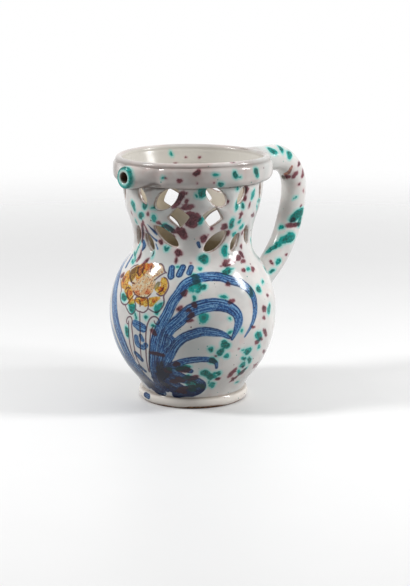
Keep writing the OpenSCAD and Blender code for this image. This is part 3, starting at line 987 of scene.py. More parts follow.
# %% Dab the blue of the root, of the stems and of the foot
BLUE_DABS = [
    ([(-17.5, 64.5), (-14.6, 62.5), (-15.6, 58), (-18.5, 55)], [6, 8, 7]),
    ([(-35, 25), (-28, 19), (-18, 14)], [8, 9, 7]),
    ([(-50, 25), (-45, 18), (-36, 14)], [7, 8, 8]),
    ([(-25, 44), (-26.5, 36), (-28, 26.3), (-29, 16)], [5, 7, 8, 8]),
    ([(-26, 34.9), (-17.1, 29.1), (-5.7, 25.8)], [9, 9.5, 7]),
    ([(-22.2, 41), (-12.3, 39), (-2, 35.8)], [6, 6.5, 5]),
    ([(-26.7, 18.7), (-12.8, 15.9), (-1, 20)], [7, 7.5, 6]),
    ([(-31, 29.1), (-27, 22.3), (-20, 16.3)], [6, 8, 7]),
    ([(-24, 30), (-17, 24), (-10, 19)], [6, 6, 5]),
    ([(-25, 40), (-21, 33), (-15, 27)], [6, 8, 6]), ([(-26, 24), (-16, 20), (-4, 17)], [7, 8, 6]),
    ([(-18.2, 117.2), (-17.6, 111.4)], [5.2, 6]), ([(-8.6, 118), (-11, 113)], [5.2, 5.6]),
    ([(-1.6, 118), (-3, 114.2)], [4.6, 4.8]),
    ([(-42.2, 72.3), (-38.6, 70.9), (-35.4, 70)], [6.4, 8.2, 7.6]),
    ([(-41.9, 61), (-41.6, 55.5), (-37, 53.4), (-34, 56)], [5, 5.4, 4.8, 4.6]),
    ([(-37.7, 62.9), (-36.4, 60)], [4, 4]),
    ([(-45.8, 46.4), (-43.6, 44.6), (-41.4, 42)], [4.6, 5.4, 4.6]),
    ([(-47, 35), (-43, 31)], [3.4, 3.6]),
    ([(-84.7, 119), (-79, 108.4)], [2.6, 2.2]), ([(-73.7, 119.6), (-71.3, 111.7)], [3.8, 3.4]),
    ([(-54.7, 134.2), (-53.7, 130.7), (-55.9, 127.5)], [3.4, 4.2, 2.6]),
    ([(-48.5, 143.6), (-41.2, 139.4), (-36.2, 136.9)], [1.2, 1.8, 2.2]),
    ([(-37.3, 133.8), (-35.2, 130.4)], [1.6, 1.6]),
    ([(-49, 14.5), (-42, 12), (-34, 11)], [7, 7, 6]),
    ([(-23.5, 149.4), (-20, 147.6)], [4.6, 4]), ([(5, 136.6), (6.4, 133.4)], [3, 2.4]),
]
for points, widths in BLUE_DABS:
    lay_stroke(above_foot, points, widths, "blue_edge")
FOOT_DAB = ([(-61, 5.6), (-54, 5.4)], [4.4, 4.8])
lay_stroke(pot_skins, *FOOT_DAB, "blue_edge")
print(len(BLUE_DABS), "dabs and one on the foot")

# %% [markdown]
# ## The flower and its stems
# The flower is patches of yellow, orange and peach inside thin plum lines that don't quite
# follow them. Below it stand three stems with curls.

# %% Lay a closed patch
def lay_patch(skins, mark, points):
    """A closed patch of colour. Its outline is given as turns and heights."""
    closed, _ = smooth_line(list(points) + [points[0]])
    middle = np.array(points, float).mean(0)
    point, normal, right, up = on_pot(*middle)
    off = on_pot(closed[:-1, 0], closed[:-1, 1])[0] - point
    outline = np.column_stack([off @ right, off @ up])
    reach = np.abs(outline).max() + 4
    for skin in skins:
        near = close_to(skin, point - reach, point + reach, normal)
        if len(near):
            spots = skin["at"][near] - point
            edge = gap_to_cut(np.column_stack([spots @ right, spots @ up]), outline)
            skin[mark][near] = np.minimum(skin[mark][near], edge)


corners = smooth_line([(0, 72), (10, 72), (5, 80), (0, 72)])[0]
print("a patch with three corners has", len(corners), "points round it")

# %% Lay the patches of the flower
PATCHES = {
    "peach_edge": [
        [(-50.2, 100.7), (-50.9, 104.3), (-47, 107.3), (-42.1, 109.2), (-34.7, 109.7),
         (-30.4, 107.4), (-30, 102.7), (-31.1, 97.9), (-34.1, 94.7), (-38.6, 93.8),
         (-43.9, 94.8), (-48, 97)],
        [(-45.2, 112.3), (-39.5, 114.6), (-33.6, 114), (-29.9, 115), (-25.9, 113.2),
         (-25.5, 111.1), (-28.3, 109.7), (-31.8, 108.4), (-39.2, 108), (-43.4, 109.4)]],
    "yellow_edge": [
        [(-61.9, 108.7), (-57.1, 104.8), (-56.7, 101.2), (-57.1, 98.2), (-59.9, 96.9),
         (-63.5, 97.8), (-66.4, 100.5), (-66.8, 103), (-65.6, 105.3), (-64.2, 107.7)],
        [(-24.6, 108.1), (-21.7, 108), (-19.7, 105.2), (-19.7, 101.7), (-21.5, 98.6),
         (-23.6, 97.6), (-26.2, 99.6), (-28, 101), (-26.4, 102.5), (-23.7, 103.9), (-24.9, 106.4)],
        [(-43.8, 90.3), (-41.3, 92.8), (-35.7, 93.5), (-32.6, 91.6), (-32.8, 88.1),
         (-36.6, 88), (-40, 88.7)],
        [(-31.9, 93.7), (-28.4, 94.8), (-23.7, 95.4), (-25.9, 92.2), (-28.4, 88.7), (-30.9, 88.6)],
        [(-50.2, 87.8), (-47.6, 90), (-45.6, 90.8), (-44.3, 89), (-46.9, 87.1), (-49.1, 86.9)],
        [(-57.5, 100.5), (-51.5, 99.5), (-46.8, 92.5), (-50, 89.4), (-54.6, 93), (-58, 96.5)],
        [(-58.6, 109.4), (-54.2, 112), (-50.6, 112.4), (-50, 108.4), (-53, 103.6), (-58, 105.6)],
        [(-52.6, 112.4), (-46.4, 114.2), (-40.5, 113.4), (-42, 109.4), (-46.6, 106), (-51, 108)]],
    "orange_edge": [
        [(-55.4, 93.9), (-52.4, 96.4), (-48.5, 95.2), (-49.8, 92.9), (-53, 92.1)],
        [(-45.4, 113.5), (-39.6, 114.7), (-36.7, 113.7), (-38, 112), (-41, 111.3), (-44.4, 111.6)],
        [(-45.3, 96.6), (-43.7, 98.3), (-41.3, 96.5), (-42.7, 95)],
        [(-36, 97.2), (-34.2, 100.3), (-32, 99.7), (-33.6, 96.7)],
        [(-24.8, 101.3), (-23, 102.6), (-22.3, 101.1), (-24.1, 99.8)],
        [(-39.3, 92.7), (-35.1, 93.1), (-36.7, 91.4), (-39.1, 91.5)],
        [(-29.3, 92.8), (-26.2, 94.6), (-26.8, 92.3), (-28.2, 90.9)],
        [(-65.9, 100.6), (-63.1, 101.4), (-61.7, 99.8), (-63.4, 99.2)]],
    "olive_edge": [
        [(-58.7, 109.9), (-54.3, 111.6), (-51, 109.9), (-51.6, 107.4), (-52.3, 104.4),
         (-54, 103.7), (-57, 105.7), (-59, 108.2)],
        [(-27.2, 105.8), (-25.7, 105.5), (-26.4, 102.7), (-28.3, 101.3), (-29.1, 102.8)]],
    "rust_edge": [
        [(-52, 112.3), (-46.4, 113.9), (-44.4, 111.6), (-45.4, 108.7), (-47, 107.5), (-50, 109.2)],
        [(-66.7, 103.4), (-63.5, 104.9), (-62.2, 103), (-64, 101.8)],
        [(-70.5, 103.5), (-70, 106.3), (-67.8, 106.1), (-68.5, 104.1)]],
    "green_edge": [
        [(-60.7, 92.4), (-57.7, 93.4), (-53.1, 91.5), (-53.2, 88.7), (-56.2, 87.3), (-59.9, 89.2)],
        [(-50.4, 86.1), (-44.4, 87.8), (-42.8, 84.6), (-44.8, 80), (-47.7, 81.4)],
        [(-20.5, 92.1), (-21.6, 88.8), (-23.8, 84.4), (-25.7, 85.7), (-25.6, 89), (-23.4, 91.4)],
        [(-43.6, 82.8), (-41.3, 79.8), (-40.2, 76.6), (-41.6, 75.3), (-42.7, 78.3)],
        [(-34.4, 79.7), (-33, 81), (-31.4, 79.5), (-32.6, 77.2), (-34.1, 78.1)]],
}
LIFT_FROM, LIFT_SHARE, FLOWER_TOP = 104, 0.36, 116


def lifted(points):
    """The shoulder leans back, so the top of the flower is drawn further up on it."""
    return [(turn, z + LIFT_SHARE * max(0, z - LIFT_FROM)) for turn, z in points]


for mark, patches in PATCHES.items():
    for outline in patches:
        lay_patch(pot_skins, mark, lifted(outline))
print({mark: len(patches) for mark, patches in PATCHES.items()})

# %% Lay the thin plum lines
THIN = [1.0, 1.3, 1.3, 0.9]
LINES = [
    [(-71.3, 105), (-69.1, 101.7), (-62.6, 95.4), (-62.1, 91.3), (-60.7, 88.6), (-58.6, 86.1),
     (-54.9, 85.1), (-51.4, 86.3), (-49.2, 89.7), (-46.3, 93.6), (-45.2, 95.4)],
    [(-53.6, 85.2), (-51.3, 82.5), (-47.7, 79.4), (-44.8, 79.7), (-42.8, 82.5), (-42.7, 86.7),
     (-44.1, 90.2), (-43.2, 93), (-40.5, 93.7), (-37.1, 93.4), (-33.9, 93.9), (-32.6, 92),
     (-31.8, 88.8), (-32, 85.7), (-33.8, 83.3), (-35.9, 82.3), (-38.2, 82.7), (-40.6, 82.9),
     (-42.8, 84.8)],
    [(-31, 85.7), (-28, 84.3), (-24.9, 83.8), (-22.5, 86), (-20.3, 90.3), (-20.3, 93.8),
     (-20.8, 96.9), (-18.8, 101), (-18.2, 104.5), (-20.3, 107.7), (-23.4, 108.7)],
    [(-20.9, 97.5), (-23.5, 96.7), (-26.6, 98)],
    [(-61, 108.7), (-56.7, 105.7), (-52.2, 103.1), (-48.1, 102.6)],
    [(-53.8, 97.2), (-53.1, 92.3), (-49.1, 89.8)], [(-61.3, 109.8), (-59.1, 111.4), (-54.1, 113)],
    [(-32, 115), (-29, 115.2), (-26.3, 114.1), (-23.8, 111.8), (-21.5, 110.9)],
    [(-22.5, 111), (-25.2, 110.1), (-28.3, 108.3), (-31, 106.1)],
    [(-48, 97), (-43.9, 94.6), (-38.5, 93.6), (-33.8, 94.5), (-31, 97.5)],
    [(-52.5, 112.5), (-50.3, 109.6), (-46.7, 107.3)], [(-57, 96.5), (-54.6, 98.6), (-51.5, 98.2)],
    [(-40.2, 91.6), (-39, 89.6), (-38.6, 86.5)], [(-25.4, 99), (-23, 100.6), (-21.6, 103.4)],
    [(-46.4, 112.6), (-44.8, 109.8), (-41.6, 108.4)],
    [(-38, 113.6), (-36.8, 110.8), (-33.4, 109.2)],
    [(-38.3, 82.2), (-37.8, 74.3), (-38, 63.7), (-39.8, 50.6), (-41.5, 40)],
    [(-48.6, 70.6), (-50.4, 71), (-50.7, 73.4), (-49.2, 76), (-46.6, 76.9), (-45, 74.6),
     (-45.4, 70.1), (-45.2, 61.9), (-45.8, 50.6), (-46.6, 41.8), (-46, 34.6), (-47, 27.6)],
    [(-48.6, 73), (-48.7, 68), (-49.6, 58), (-50, 48), (-49.5, 40)],
    [(-26.5, 76.9), (-25.5, 75), (-23.5, 74.8), (-22.8, 77.3), (-24.6, 79.9), (-27.2, 80.3),
     (-29.8, 78), (-31.8, 73), (-33, 66), (-33.8, 58), (-35, 49.7), (-36.7, 40.5), (-38.6, 31)],
    [(-27, 72.8), (-28.9, 68.5), (-30.1, 60.8), (-31.8, 50.3), (-34.9, 39), (-38, 31)],
    [(-41.1, 129.9), (-40.3, 127), (-41.4, 124)], [(-57.2, 125.6), (-57, 122.1), (-57.5, 119.2)],
]
for points in LINES:
    lay_stroke(pot_skins, lifted(points) if points[0][1] < FLOWER_TOP else points, THIN)
print(len(LINES), "thin lines")

# %% Lay the spray of small leaves between the windows
SPRAY = [
    ([(-48.8, 151.6), (-52.6, 146), (-55.6, 139.6), (-57.6, 134)], [2.2, 3.8, 4.6, 3], "plum_edge"),
    ([(-51.4, 146.6), (-55, 140.4), (-57, 134.4)], [1.2, 2.2, 2], "blue_edge"),
    ([(-48.8, 150), (-47.2, 145.5), (-44.4, 140)], [1.2, 2.2, 1.4], "plum_edge"),
    ([(-44, 149.4), (-39.6, 145), (-36, 141.5)], [0.8, 1.8, 1.2], "blue_edge"),
    ([(-41.6, 129.7), (-40, 126.4), (-40.5, 122.8)], [1.2, 1.4, 1], "green_edge"),
    ([(-57.5, 126.4), (-58.4, 121.6), (-61, 118)], [1.6, 2.4, 1.2], "plum_edge"),
    ([(-48.1, 143.4), (-46.1, 138.8), (-44.7, 134.2), (-42, 130.3)],
     [1.6, 2.6, 2.4, 1], "plum_edge"),
    ([(-44.2, 121.8), (-46.3, 119.6), (-48.6, 117.7)], [2, 4, 2], "plum_edge"),
    ([(-57.4, 125), (-57, 122), (-58.5, 118)], [2, 3, 2], "plum_edge"),
    ([(-60.2, 133.4), (-65, 128), (-66.7, 121.9), (-62.6, 117.9), (-62.4, 115.7)],
     [1.6, 2.4, 2, 1.4], "green_edge"),
    ([(-31.5, 49.8), (-26, 49.6), (-21, 48.8)], [2.4, 3.8, 2.8], "plum_edge"),
]
for points, widths, mark in SPRAY:
    lay_stroke(pot_skins, points, widths, mark)
print(len(SPRAY), "marks of the spray")

# %% [markdown]
# ## Folds under the spout, and their painted shade
# The clay of the spout's root is smeared out over the band and the neck, and the glaze has
# pooled grey in its folds, where shade falls as well. They are too shallow for the mesh, so
# they are laid like strokes of a brush, and the shader gives them one grey that is both the
# pooled glaze and painted shade.

# %% Lay the folds and their painted shade
FOLD_SHADOWS = [
    ([(-72, 177), (-60.5, 177.8), (-48.8, 179.4), (-35.7, 182.3), (-29, 184), (-24, 183)],
     [0.8, 2, 3, 3.4, 3, 1]),
    ([(-44, 176), (-38.7, 178), (-31.8, 180.4), (-25.5, 180.2), (-20, 181)],
     [0.6, 1.6, 2.4, 2, 0.8]),
]
for points, widths in FOLD_SHADOWS:
    lay_stroke(pot_skins, points, widths, "fold_shadow_edge")
print(len(FOLD_SHADOWS), "folds")

# %% [markdown]
# ## Flicked drops
# Green and plum drops fall where the brush is flicked over the finished pot. Each is a
# spot with an uneven edge. The seen ones are listed with their turn, height, length, width
# and lean. The back is strewn with drops of the same sizes from a seeded generator.

# %% List the green drops of the front
GREEN_DROPS = [
    (16, 192, 4.5, 2.5, 0), (20, 184, 5.5, 4, -65), (31, 191, 6, 4.5, -70), (35, 189, 2.5, 2, -15),
    (51, 191, 8.5, 5, -50), (3, 175, 4, 2, -70), (38, 179, 3.5, 2.5, 80),
    (57.4, 171.7, 7.5, 4.2, 60), (72, 165, 6.5, 3.5, 5), (-57.8, 163.4, 8.6, 5, -75),
    (-43, 165, 7, 4.5, 80), (-34, 164, 5, 2, 10), (39.1, 165.9, 8, 4, 75), (71, 160, 7, 2, -40),
    (-49.8, 156.2, 8, 5, 35), (-34.8, 155.7, 6.4, 4.4, 80), (-26, 150, 7, 3.5, 35),
    (7, 155, 6, 4, 55), (36.3, 151.4, 8.2, 4.8, -85), (45.3, 151.5, 3.6, 3, 0),
    (50.9, 146.7, 5, 3.4, 70), (-27, 132, 4, 2, 65), (42.2, 141.4, 5.2, 3.6, 25),
    (-66, 117, 7, 2.5, -20), (-69, 122, 6.5, 3, -20), (-25, 131, 4.5, 2.5, 50),
    (10, 124, 9, 6.5, -15), (31.3, 128.9, 8, 6.2, 80), (-13, 118, 3.5, 2, 0),
    (6, 117, 3.5, 3, -50), (33, 115, 7, 2, 10), (52, 113, 4.5, 3, 20), (46, 98, 5, 3.5, -50),
    (55, 97, 7, 5.5, 20), (64, 101, 4.5, 3, 20), (-22, 89, 2, 2, 0), (-25, 86, 9, 4, -80),
    (22, 96, 6, 3, -15), (7, 81, 9, 6.5, 70), (25, 79, 3.5, 2, -35), (64, 79, 8, 6, 45),
    (-51, 64, 8.5, 5, -80), (-27, 73, 4, 2.5, -15), (25, 68, 5, 2.5, 30), (34, 68, 3, 2.5, -75),
    (51, 60, 10.5, 6.5, -25), (12, 55, 5, 4, -40), (37, 51, 4, 2, -20), (54, 50, 4.5, 3.5, -35),
    (12, 32, 14, 6, -30), (21, 32, 5, 3, -65), (41, 30, 8.5, 3, -50), (9, 20, 6.5, 4.5, -60),
    (14, 24, 4.5, 2, -90), (48, 19, 4.5, 2.5, -15), (22, 58, 7.9, 6.8, -50),
    (19, 52, 6.7, 5.9, -89), (14, 45, 6.3, 5.9, -35), (24, 48, 5.3, 3.9, -32),
    (42, 49, 7.3, 6.4, -50), (40, 43, 6, 3.2, -27), (41, 37, 7.2, 4.8, -43), (47, 40, 8, 4.1, -53),
    (3, 106, 7, 5.7, 71), (7, 104, 6.4, 4.5, 15), (0, 102, 4, 2.6, 78), (1, 96, 4.1, 3.2, 89),
    (3, 111, 4.9, 3.4, 2), (9, 179, 6.3, 4.5, -2), (-22, 148, 6.4, 5.7, -18),
    (-21, 190, 4, 1.7, 22), (9, 34, 6.9, 5.8, 76), (14, 29, 6.9, 4.2, -47),
    (18, 21, 7.8, 3.9, -79), (1, 21, 10.4, 7.2, 19), (-10, 38, 6.1, 4, 11), (-18, 37, 5, 3.6, 26),
    (-5, 40, 6.5, 3.7, 4), (-2, 24, 8, 6, 20), (-1, 17, 7, 5, -10), (-5, 30, 6, 4.5, 30),
    (7.8, 177.4, 9, 6.5, 60), (45.5, 95, 5, 4, 60), (29, 114, 8, 5.5, 20), (-1, 103.5, 7, 4.5, 80),
    (45.9, 163.9, 5.5, 3.2, -85), (44.1, 173.1, 9, 2.6, 85), (58.8, 174.6, 3.6, 2.4, 60),
    (37, 150.6, 6, 3.4, -80), (45.6, 151, 3, 2.6, 75), (49.3, 146.5, 4, 2.6, 40),
    (-60, 164.5, 5, 2.4, 85), (-35.1, 155.7, 4.6, 4, 80), (-47.3, 156.7, 3.6, 2.4, 60),
    (-61.7, 149.4, 5, 2.6, 70), (2.6, 107, 8, 6.5, 80), (1.1, 112, 5, 4, 40),
    (3.9, 102.7, 6, 4.4, 70), (17.3, 21.7, 7, 4.4, 80), (12.5, 29.7, 8, 3.6, -60),
    (19.2, 33.1, 6, 3.2, 0), (46.5, 31.5, 6, 2.8, 50), (38.9, 49, 3, 2, 0),
]
print(len(GREEN_DROPS), "green drops")

# %% List the plum drops of the front
PLUM_DROPS = [
    (31, 201, 6, 2, 0), (-58, 185, 6, 3.5, -15), (3, 194, 5.5, 4, 40), (-16, 171, 3.5, 2, 55),
    (-12, 172, 15, 5.5, 50), (30, 169, 3, 2, 80), (45, 175, 3.5, 2.5, 5), (-6, 168, 5, 2, 0),
    (4, 160, 3.5, 2.5, -60), (-53, 145, 6, 2, 50), (-50, 150, 4, 2, 40), (-17, 147, 3, 2, -80),
    (-2, 155, 13, 8, -75), (29, 148, 4.5, 4, -80), (-18, 142, 3.5, 2, -15),
    (-10, 145, 9, 6.5, -45), (10, 140, 6.5, 4.5, 60), (35, 143, 4, 2.5, -85),
    (-14, 128, 4.5, 3.5, -25), (36, 121, 5, 3, -5), (52, 124, 5.5, 3.5, -55),
    (-70, 105, 5.5, 3.5, 15), (46, 113, 4, 3, 20), (58, 112, 5, 3.5, 15), (-9, 88, 5, 3, 30),
    (-2, 79, 5, 2.5, 5), (57, 81, 6, 4.5, 15), (-27, 68, 6, 3.5, -30), (59, 61, 9, 3.5, -40),
    (42, 35, 4, 2, -35), (22, 27, 3, 2.5, -15), (33, 31, 9, 4.5, 70), (38, 24, 6, 2.5, -45),
    (-9, 188, 3.7, 3.2, 5), (3, 186, 1.7, 1.5, -8), (-19, 190, 3, 1.8, -13),
    (15, 186, 1.5, 1.3, -26), (-5, 177, 2.6, 2, 62), (-5, 171, 3.5, 2.6, 52),
    (-4, 166, 8.7, 3.8, 12), (-18, 146, 4.9, 4, -54), (-31, 152, 4.3, 2.9, 27),
    (-28, 147, 3.1, 2.6, 3), (-26, 145, 2, 1.5, 20), (-23, 143, 2.2, 1.8, 23),
    (45, 158, 4.6, 2.3, -16), (66, 154, 6.9, 2.5, -18), (49, 177, 6.4, 3.9, 83),
    (46, 122, 7.8, 3.7, 17), (51, 119, 6, 2.7, 14), (27, 105, 4.7, 2.7, 5), (27, 92, 5.2, 3.3, 9),
    (1, 91, 4.8, 3.4, 79), (-1, 83, 4.9, 3.7, 18), (-3, 87, 3.4, 2.5, -1), (-7, 37, 8.8, 5.9, 7),
    (-12, 42, 6.3, 3.6, 20), (-1, 29, 9.2, 5.3, 30), (-11, 27, 7.8, 5.5, 18),
    (-12, 15, 7.6, 4.5, -2), (25, 118, 2.3, 1.3, 1), (-2, 121, 1.7, 1.2, -1),
    (17, 148, 2.8, 2.1, -18), (14, 143, 1.8, 1.5, -14), (16, 49, 2.3, 1.9, -32),
    (50, 55, 6.4, 3, -20), (54, 57, 5.9, 2.4, -18), (44, 69, 3.7, 2.1, -18), (56, 74, 4, 2.6, -16),
    (65, 90, 4.3, 2.3, -3), (58, 79, 3, 2, -12), (68, 42, 9, 2.8, -24), (63, 31, 9, 3.1, -21),
    (33, 53, 2, 1.4, -33), (-16, 25, 7, 5, 20), (-20, 35, 6, 4.5, 0), (-9, 18, 7, 4, 10),
    (-0.5, 157.5, 11, 8.5, 20), (-14.4, 171, 9, 5, 60), (-13.5, 129, 5.4, 4.4, -20),
    (30, 149.2, 6, 3.6, -30), (-6, 99.5, 5, 4, 20), (31, 119.5, 8, 4.5, 10), (37, 120, 5, 3, -20),
    (48.3, 169.8, 4.4, 2.4, 80), (54.3, 163.9, 5, 2.2, 75), (65.2, 154.3, 3.6, 2.2, 80),
    (45, 157, 5.4, 2.8, 85), (-40.4, 158.5, 4.4, 2.2, 70), (-65.3, 156.1, 4, 2, 80),
    (54.5, 141.8, 3.6, 2.4, 60), (44.7, 139.8, 3, 2, 20), (-15.3, 122.8, 5, 2.2, 80),
    (-31.6, 135.9, 4.4, 2.8, -30), (-29.6, 141.2, 4, 2.8, -40), (-30.2, 151.9, 4, 2.4, -30),
    (44.6, 29.5, 8, 4, 50), (39.2, 24.1, 7, 2.8, 50), (21.3, 26.9, 4.4, 3, 20),
    (62.2, 31.6, 5.5, 3, 50), (53.2, 130, 3.4, 2.4, 75), (-33.4, 146.4, 4.6, 3, -40),
]
print(len(PLUM_DROPS), "plum drops")

# %% Lay the drops of the front and of the inside
INSIDE_DROPS = [
    ("plum_edge", 174, 190, 3, 2.4, 0), ("plum_edge", 186, 190, 2.4, 2, 0),
    ("plum_edge", 196, 185, 3, 2.4, 0), ("green_edge", 199, 193, 5, 2.6, 70),
]
SPREAD = {"green_edge": 1.1, "plum_edge": 1.25}  # the drops run a little in the fire
UNEVEN = 0.12
for mark, drops in (("green_edge", GREEN_DROPS), ("plum_edge", PLUM_DROPS)):
    for turn, height, length, width, lean in drops:
        grown = SPREAD[mark] if width > 2 else 1
        lay_spot(pot_skins, mark, on_pot(turn, height),
                 length * grown, width * grown, lean, UNEVEN)
for mark, turn, height, length, width, lean in INSIDE_DROPS:
    lay_spot(pot_skins, mark, on_pot(turn, height, True), length, width, lean, 0.1)
print(len(INSIDE_DROPS), "drops inside the rim")

# %% Strew drops round the back
STREWN = 150
HEIGHTS, SHARES = ((12, 120), (122, 180), (184, 196)), (0.55, 0.3, 0.15)
chance = np.random.default_rng(7)
for _ in range(STREWN):
    turn = chance.uniform(76, 268)
    height = chance.choice([chance.uniform(*span) for span in HEIGHTS], p=SHARES)
    length = chance.uniform(2, 7) ** 1.1
    mark = "green_edge" if chance.random() < 0.55 else "plum_edge"
    lay_spot(pot_skins, mark, on_pot(turn, height), length,
             length * chance.uniform(0.45, 0.8), chance.uniform(-90, 90), UNEVEN)
print(STREWN, "drops round the back")

# %% Lay the drops of the handle
HANDLE_GREEN = [
    (35, -137, 12, 4.3, -89), (25, -131, 9, 7, 48), (43, -115, 10, 6.4, -56),
    (84, -55, 4.3, 1.8, 45), (113, -17, 5.3, 4.2, -85), (98, -81, 17, 8, 40), (104, -100, 9, 6, 0),
    (120, -72, 16, 8, 54), (124, -50, 14, 6, 40), (136, -15, 13, 4.5, 34), (130, -35, 8, 5, 30),
    (144, -75, 6.3, 5.2, -22), (155, -76, 7, 3.2, 27), (62, 150, 7, 4, 10), (88, 120, 6, 4, -40),
    (110, 80, 8, 5, 20), (140, 140, 7, 4, 60), (30, 90, 7, 5, -20), (52, 60, 5, 3, 40),
    (70, 175, 9, 5, 70),
]
HANDLE_PLUM = [
    (56, -118, 8.4, 3.7, -85), (60, -62, 6.8, 4.3, 64), (64, -110, 9.5, 3.9, 57),
    (109, -65, 12.9, 4.6, 66), (104, -60, 6, 4, 20), (149, -50, 4.6, 3.2, -73),
    (59, -24, 8, 4, -87), (71, -72, 3.7, 2.2, 44), (90, -91, 3, 1.8, 51), (78, -100, 3, 2, 0),
    (134, -96, 4, 2.4, 30), (46, 110, 6, 4, 20), (98, 160, 8, 4, 50), (126, 100, 6, 3, -30),
    (80, 60, 5, 3, 0), (20, 150, 5, 3, 60), (150, 90, 5, 3, 10),
]
HANDLE_RUST = [(54, -38, 7, 2.6, 80), (51, -62, 5, 2, 60)]
for mark, drops, uneven in (("green_edge", HANDLE_GREEN, 0.14), ("plum_edge", HANDLE_PLUM, 0.14),
                            ("rust_edge", HANDLE_RUST, 0.1)):
    for along, angle, length, width, lean in drops:
        lay_spot(handle_skin, mark, on_handle(along, angle), length, width, lean, uneven)
print(len(HANDLE_GREEN), "green and", len(HANDLE_PLUM), "plum drops on the handle")

# %% Lay the green ring round the spout's mouth
RING_RADIUS, RING_REACH, RING_HALF_WIDTH = 7.5, 71.2, 1.7
spout_skin = next(skin for skin in skins if skin["piece"] is spout)
at = spout_skin["at"]
from_middle = np.hypot(at[:, 1], at[:, 2] - SPOUT_HEIGHT - 0.2)
ring_edge = np.hypot(from_middle - RING_RADIUS, (at[:, 0] + RING_REACH) * 0.8) - RING_HALF_WIDTH
spout_skin["green_edge"] = np.minimum(spout_skin["green_edge"], ring_edge)
print((ring_edge < 0).sum(), "points of the spout are green")

# %% [markdown]
# ## Where the glaze is thin
# Glaze runs off sharp edges in the fire, so the cut edges of the windows show a warm brown
# line, and at the foot the clay is bare. Inside, the glaze is thin and tan.
# In the bore of the spout it is dark. Four more distances tell the shader where that is.

# %% Measure where the glaze is tan, and how far the cut edges are
BORE_SKIN, CHANNEL_SKIN, RIM_SKIN = 8.5, 62.3, 57.5


def inner_share(piece, at, reach, height):
    """1 on the inner side of a wall, where the glaze is tan, and 0 on the outer side."""
    if piece is spout:
        return np.zeros(len(at))
    if piece is band:
        return np.clip((CHANNEL_SKIN - reach) / 0.6, 0, 1) * (height > 183) * (height < 194)
    if piece is handle:
        middle = handle_middle[:, :2]
        apart = (np.abs(at[:, None, 0] - middle[None, :, 0])
                 + np.abs(at[:, None, 2] - middle[None, :, 1]))
        near = middle[apart.argmin(1)]
        far = np.sqrt((at[:, 0] - near[:, 0]) ** 2 + at[:, 1] ** 2
                      + (at[:, 2] - near[:, 1]) ** 2)
        return np.clip((BORE_SKIN - far) / 2, 0, 1)
    tan_depth = WALL * (0.86 if piece is neck else 0.5)
    half_wall = np.where(height > BAND_BOTTOM, RIM_SKIN, pot_radius(height) - tan_depth)
    return np.clip(half_wall - reach, 0, 1) * (height > FOOT_HEIGHT)


def gap_to_edges(reach, turn, height):
    """Distance from the rounded edges of the neck's cuts, on both sides of the wall."""
    spread = np.column_stack([turn * FLAT, height])
    gap = np.maximum(gap_to_windows(spread), 0)
    wrapped = spread + (360 * FLAT, 0)
    gap = np.minimum(gap, np.maximum(gap_to_windows(wrapped), 0))
    depth = pot_radius(height) + hand_wave(turn, height) - reach
    outer_arris = np.hypot(gap, np.maximum(depth - OUTER_ROUND - 0.3, 0))
    inner_arris = np.hypot(gap, np.maximum(WALL - INNER_ROUND - depth, 0))
    return np.minimum(outer_arris, inner_arris)


print("at the rim the inner glaze starts", RIM_SKIN, "mm from the axis")

# %% Hand all distances to the meshes
DARK_BORE, UNDER_FOOT = 4.6, 38


def store(piece, name, values):
    layer = piece.data.attributes.new(name, "FLOAT", "POINT")
    layer.data.foreach_set("value", np.ascontiguousarray(values, np.float32))


for skin in skins:
    at, out, piece = skin["at"], skin["out"], skin["piece"]
    reach, turn, height = np.hypot(at[:, 0], at[:, 1]), find_turn(at), at[:, 2]
    thin = {"inner": inner_share(piece, at, reach, height),
            "cut_gap": np.full(len(at), FAR),
            "bare_edge": np.full(len(at), -FAR),
            "bore_edge": np.full(len(at), FAR)}
    if piece is neck:
        thin["cut_gap"] = gap_to_edges(reach, turn, height)
    if piece is foot:
        under = (reach < UNDER_FOOT) | (out[:, 2] < -0.9)
        thin["bare_edge"] = np.where(under, 3.0, glaze_line(turn) - height)
    if piece is spout:
        thin["bore_edge"] = np.hypot(at[:, 1], height - SPOUT_HEIGHT) - DARK_BORE
    for name, values in thin.items():
        store(piece, name, values)
    for mark in MARKS:
        store(piece, mark, skin[mark])
print("each skin carries", len(MARKS) + 4, "distances")

# %% [markdown]
# ## Glaze
# The white is a tin glaze: a little grey and pink, mottled, with pinholes and tiny dark
# specks, glossy but not flat. One material serves all glazed pieces, so colours meet at the
# seams. Its nodes could be drawn in the shader editor, but a tree of this size is easier to
# follow as a written chain. So a small helper has one method for each kind of node, and
# sizes go in as millimetres.

# %% Colours as on a screen
def linear(red, green, blue):
    """Linear values of a colour that is written as on a screen, 0 to 255."""
    parts = [c / 255 for c in (red, green, blue)]
    return tuple(c / 12.92 if c < 0.04045 else ((c + 0.055) / 1.055) ** 2.4 for c in parts) + (1,)


print("a grey of 128 reflects", round(linear(128, 128, 128)[0], 3), "of the light")

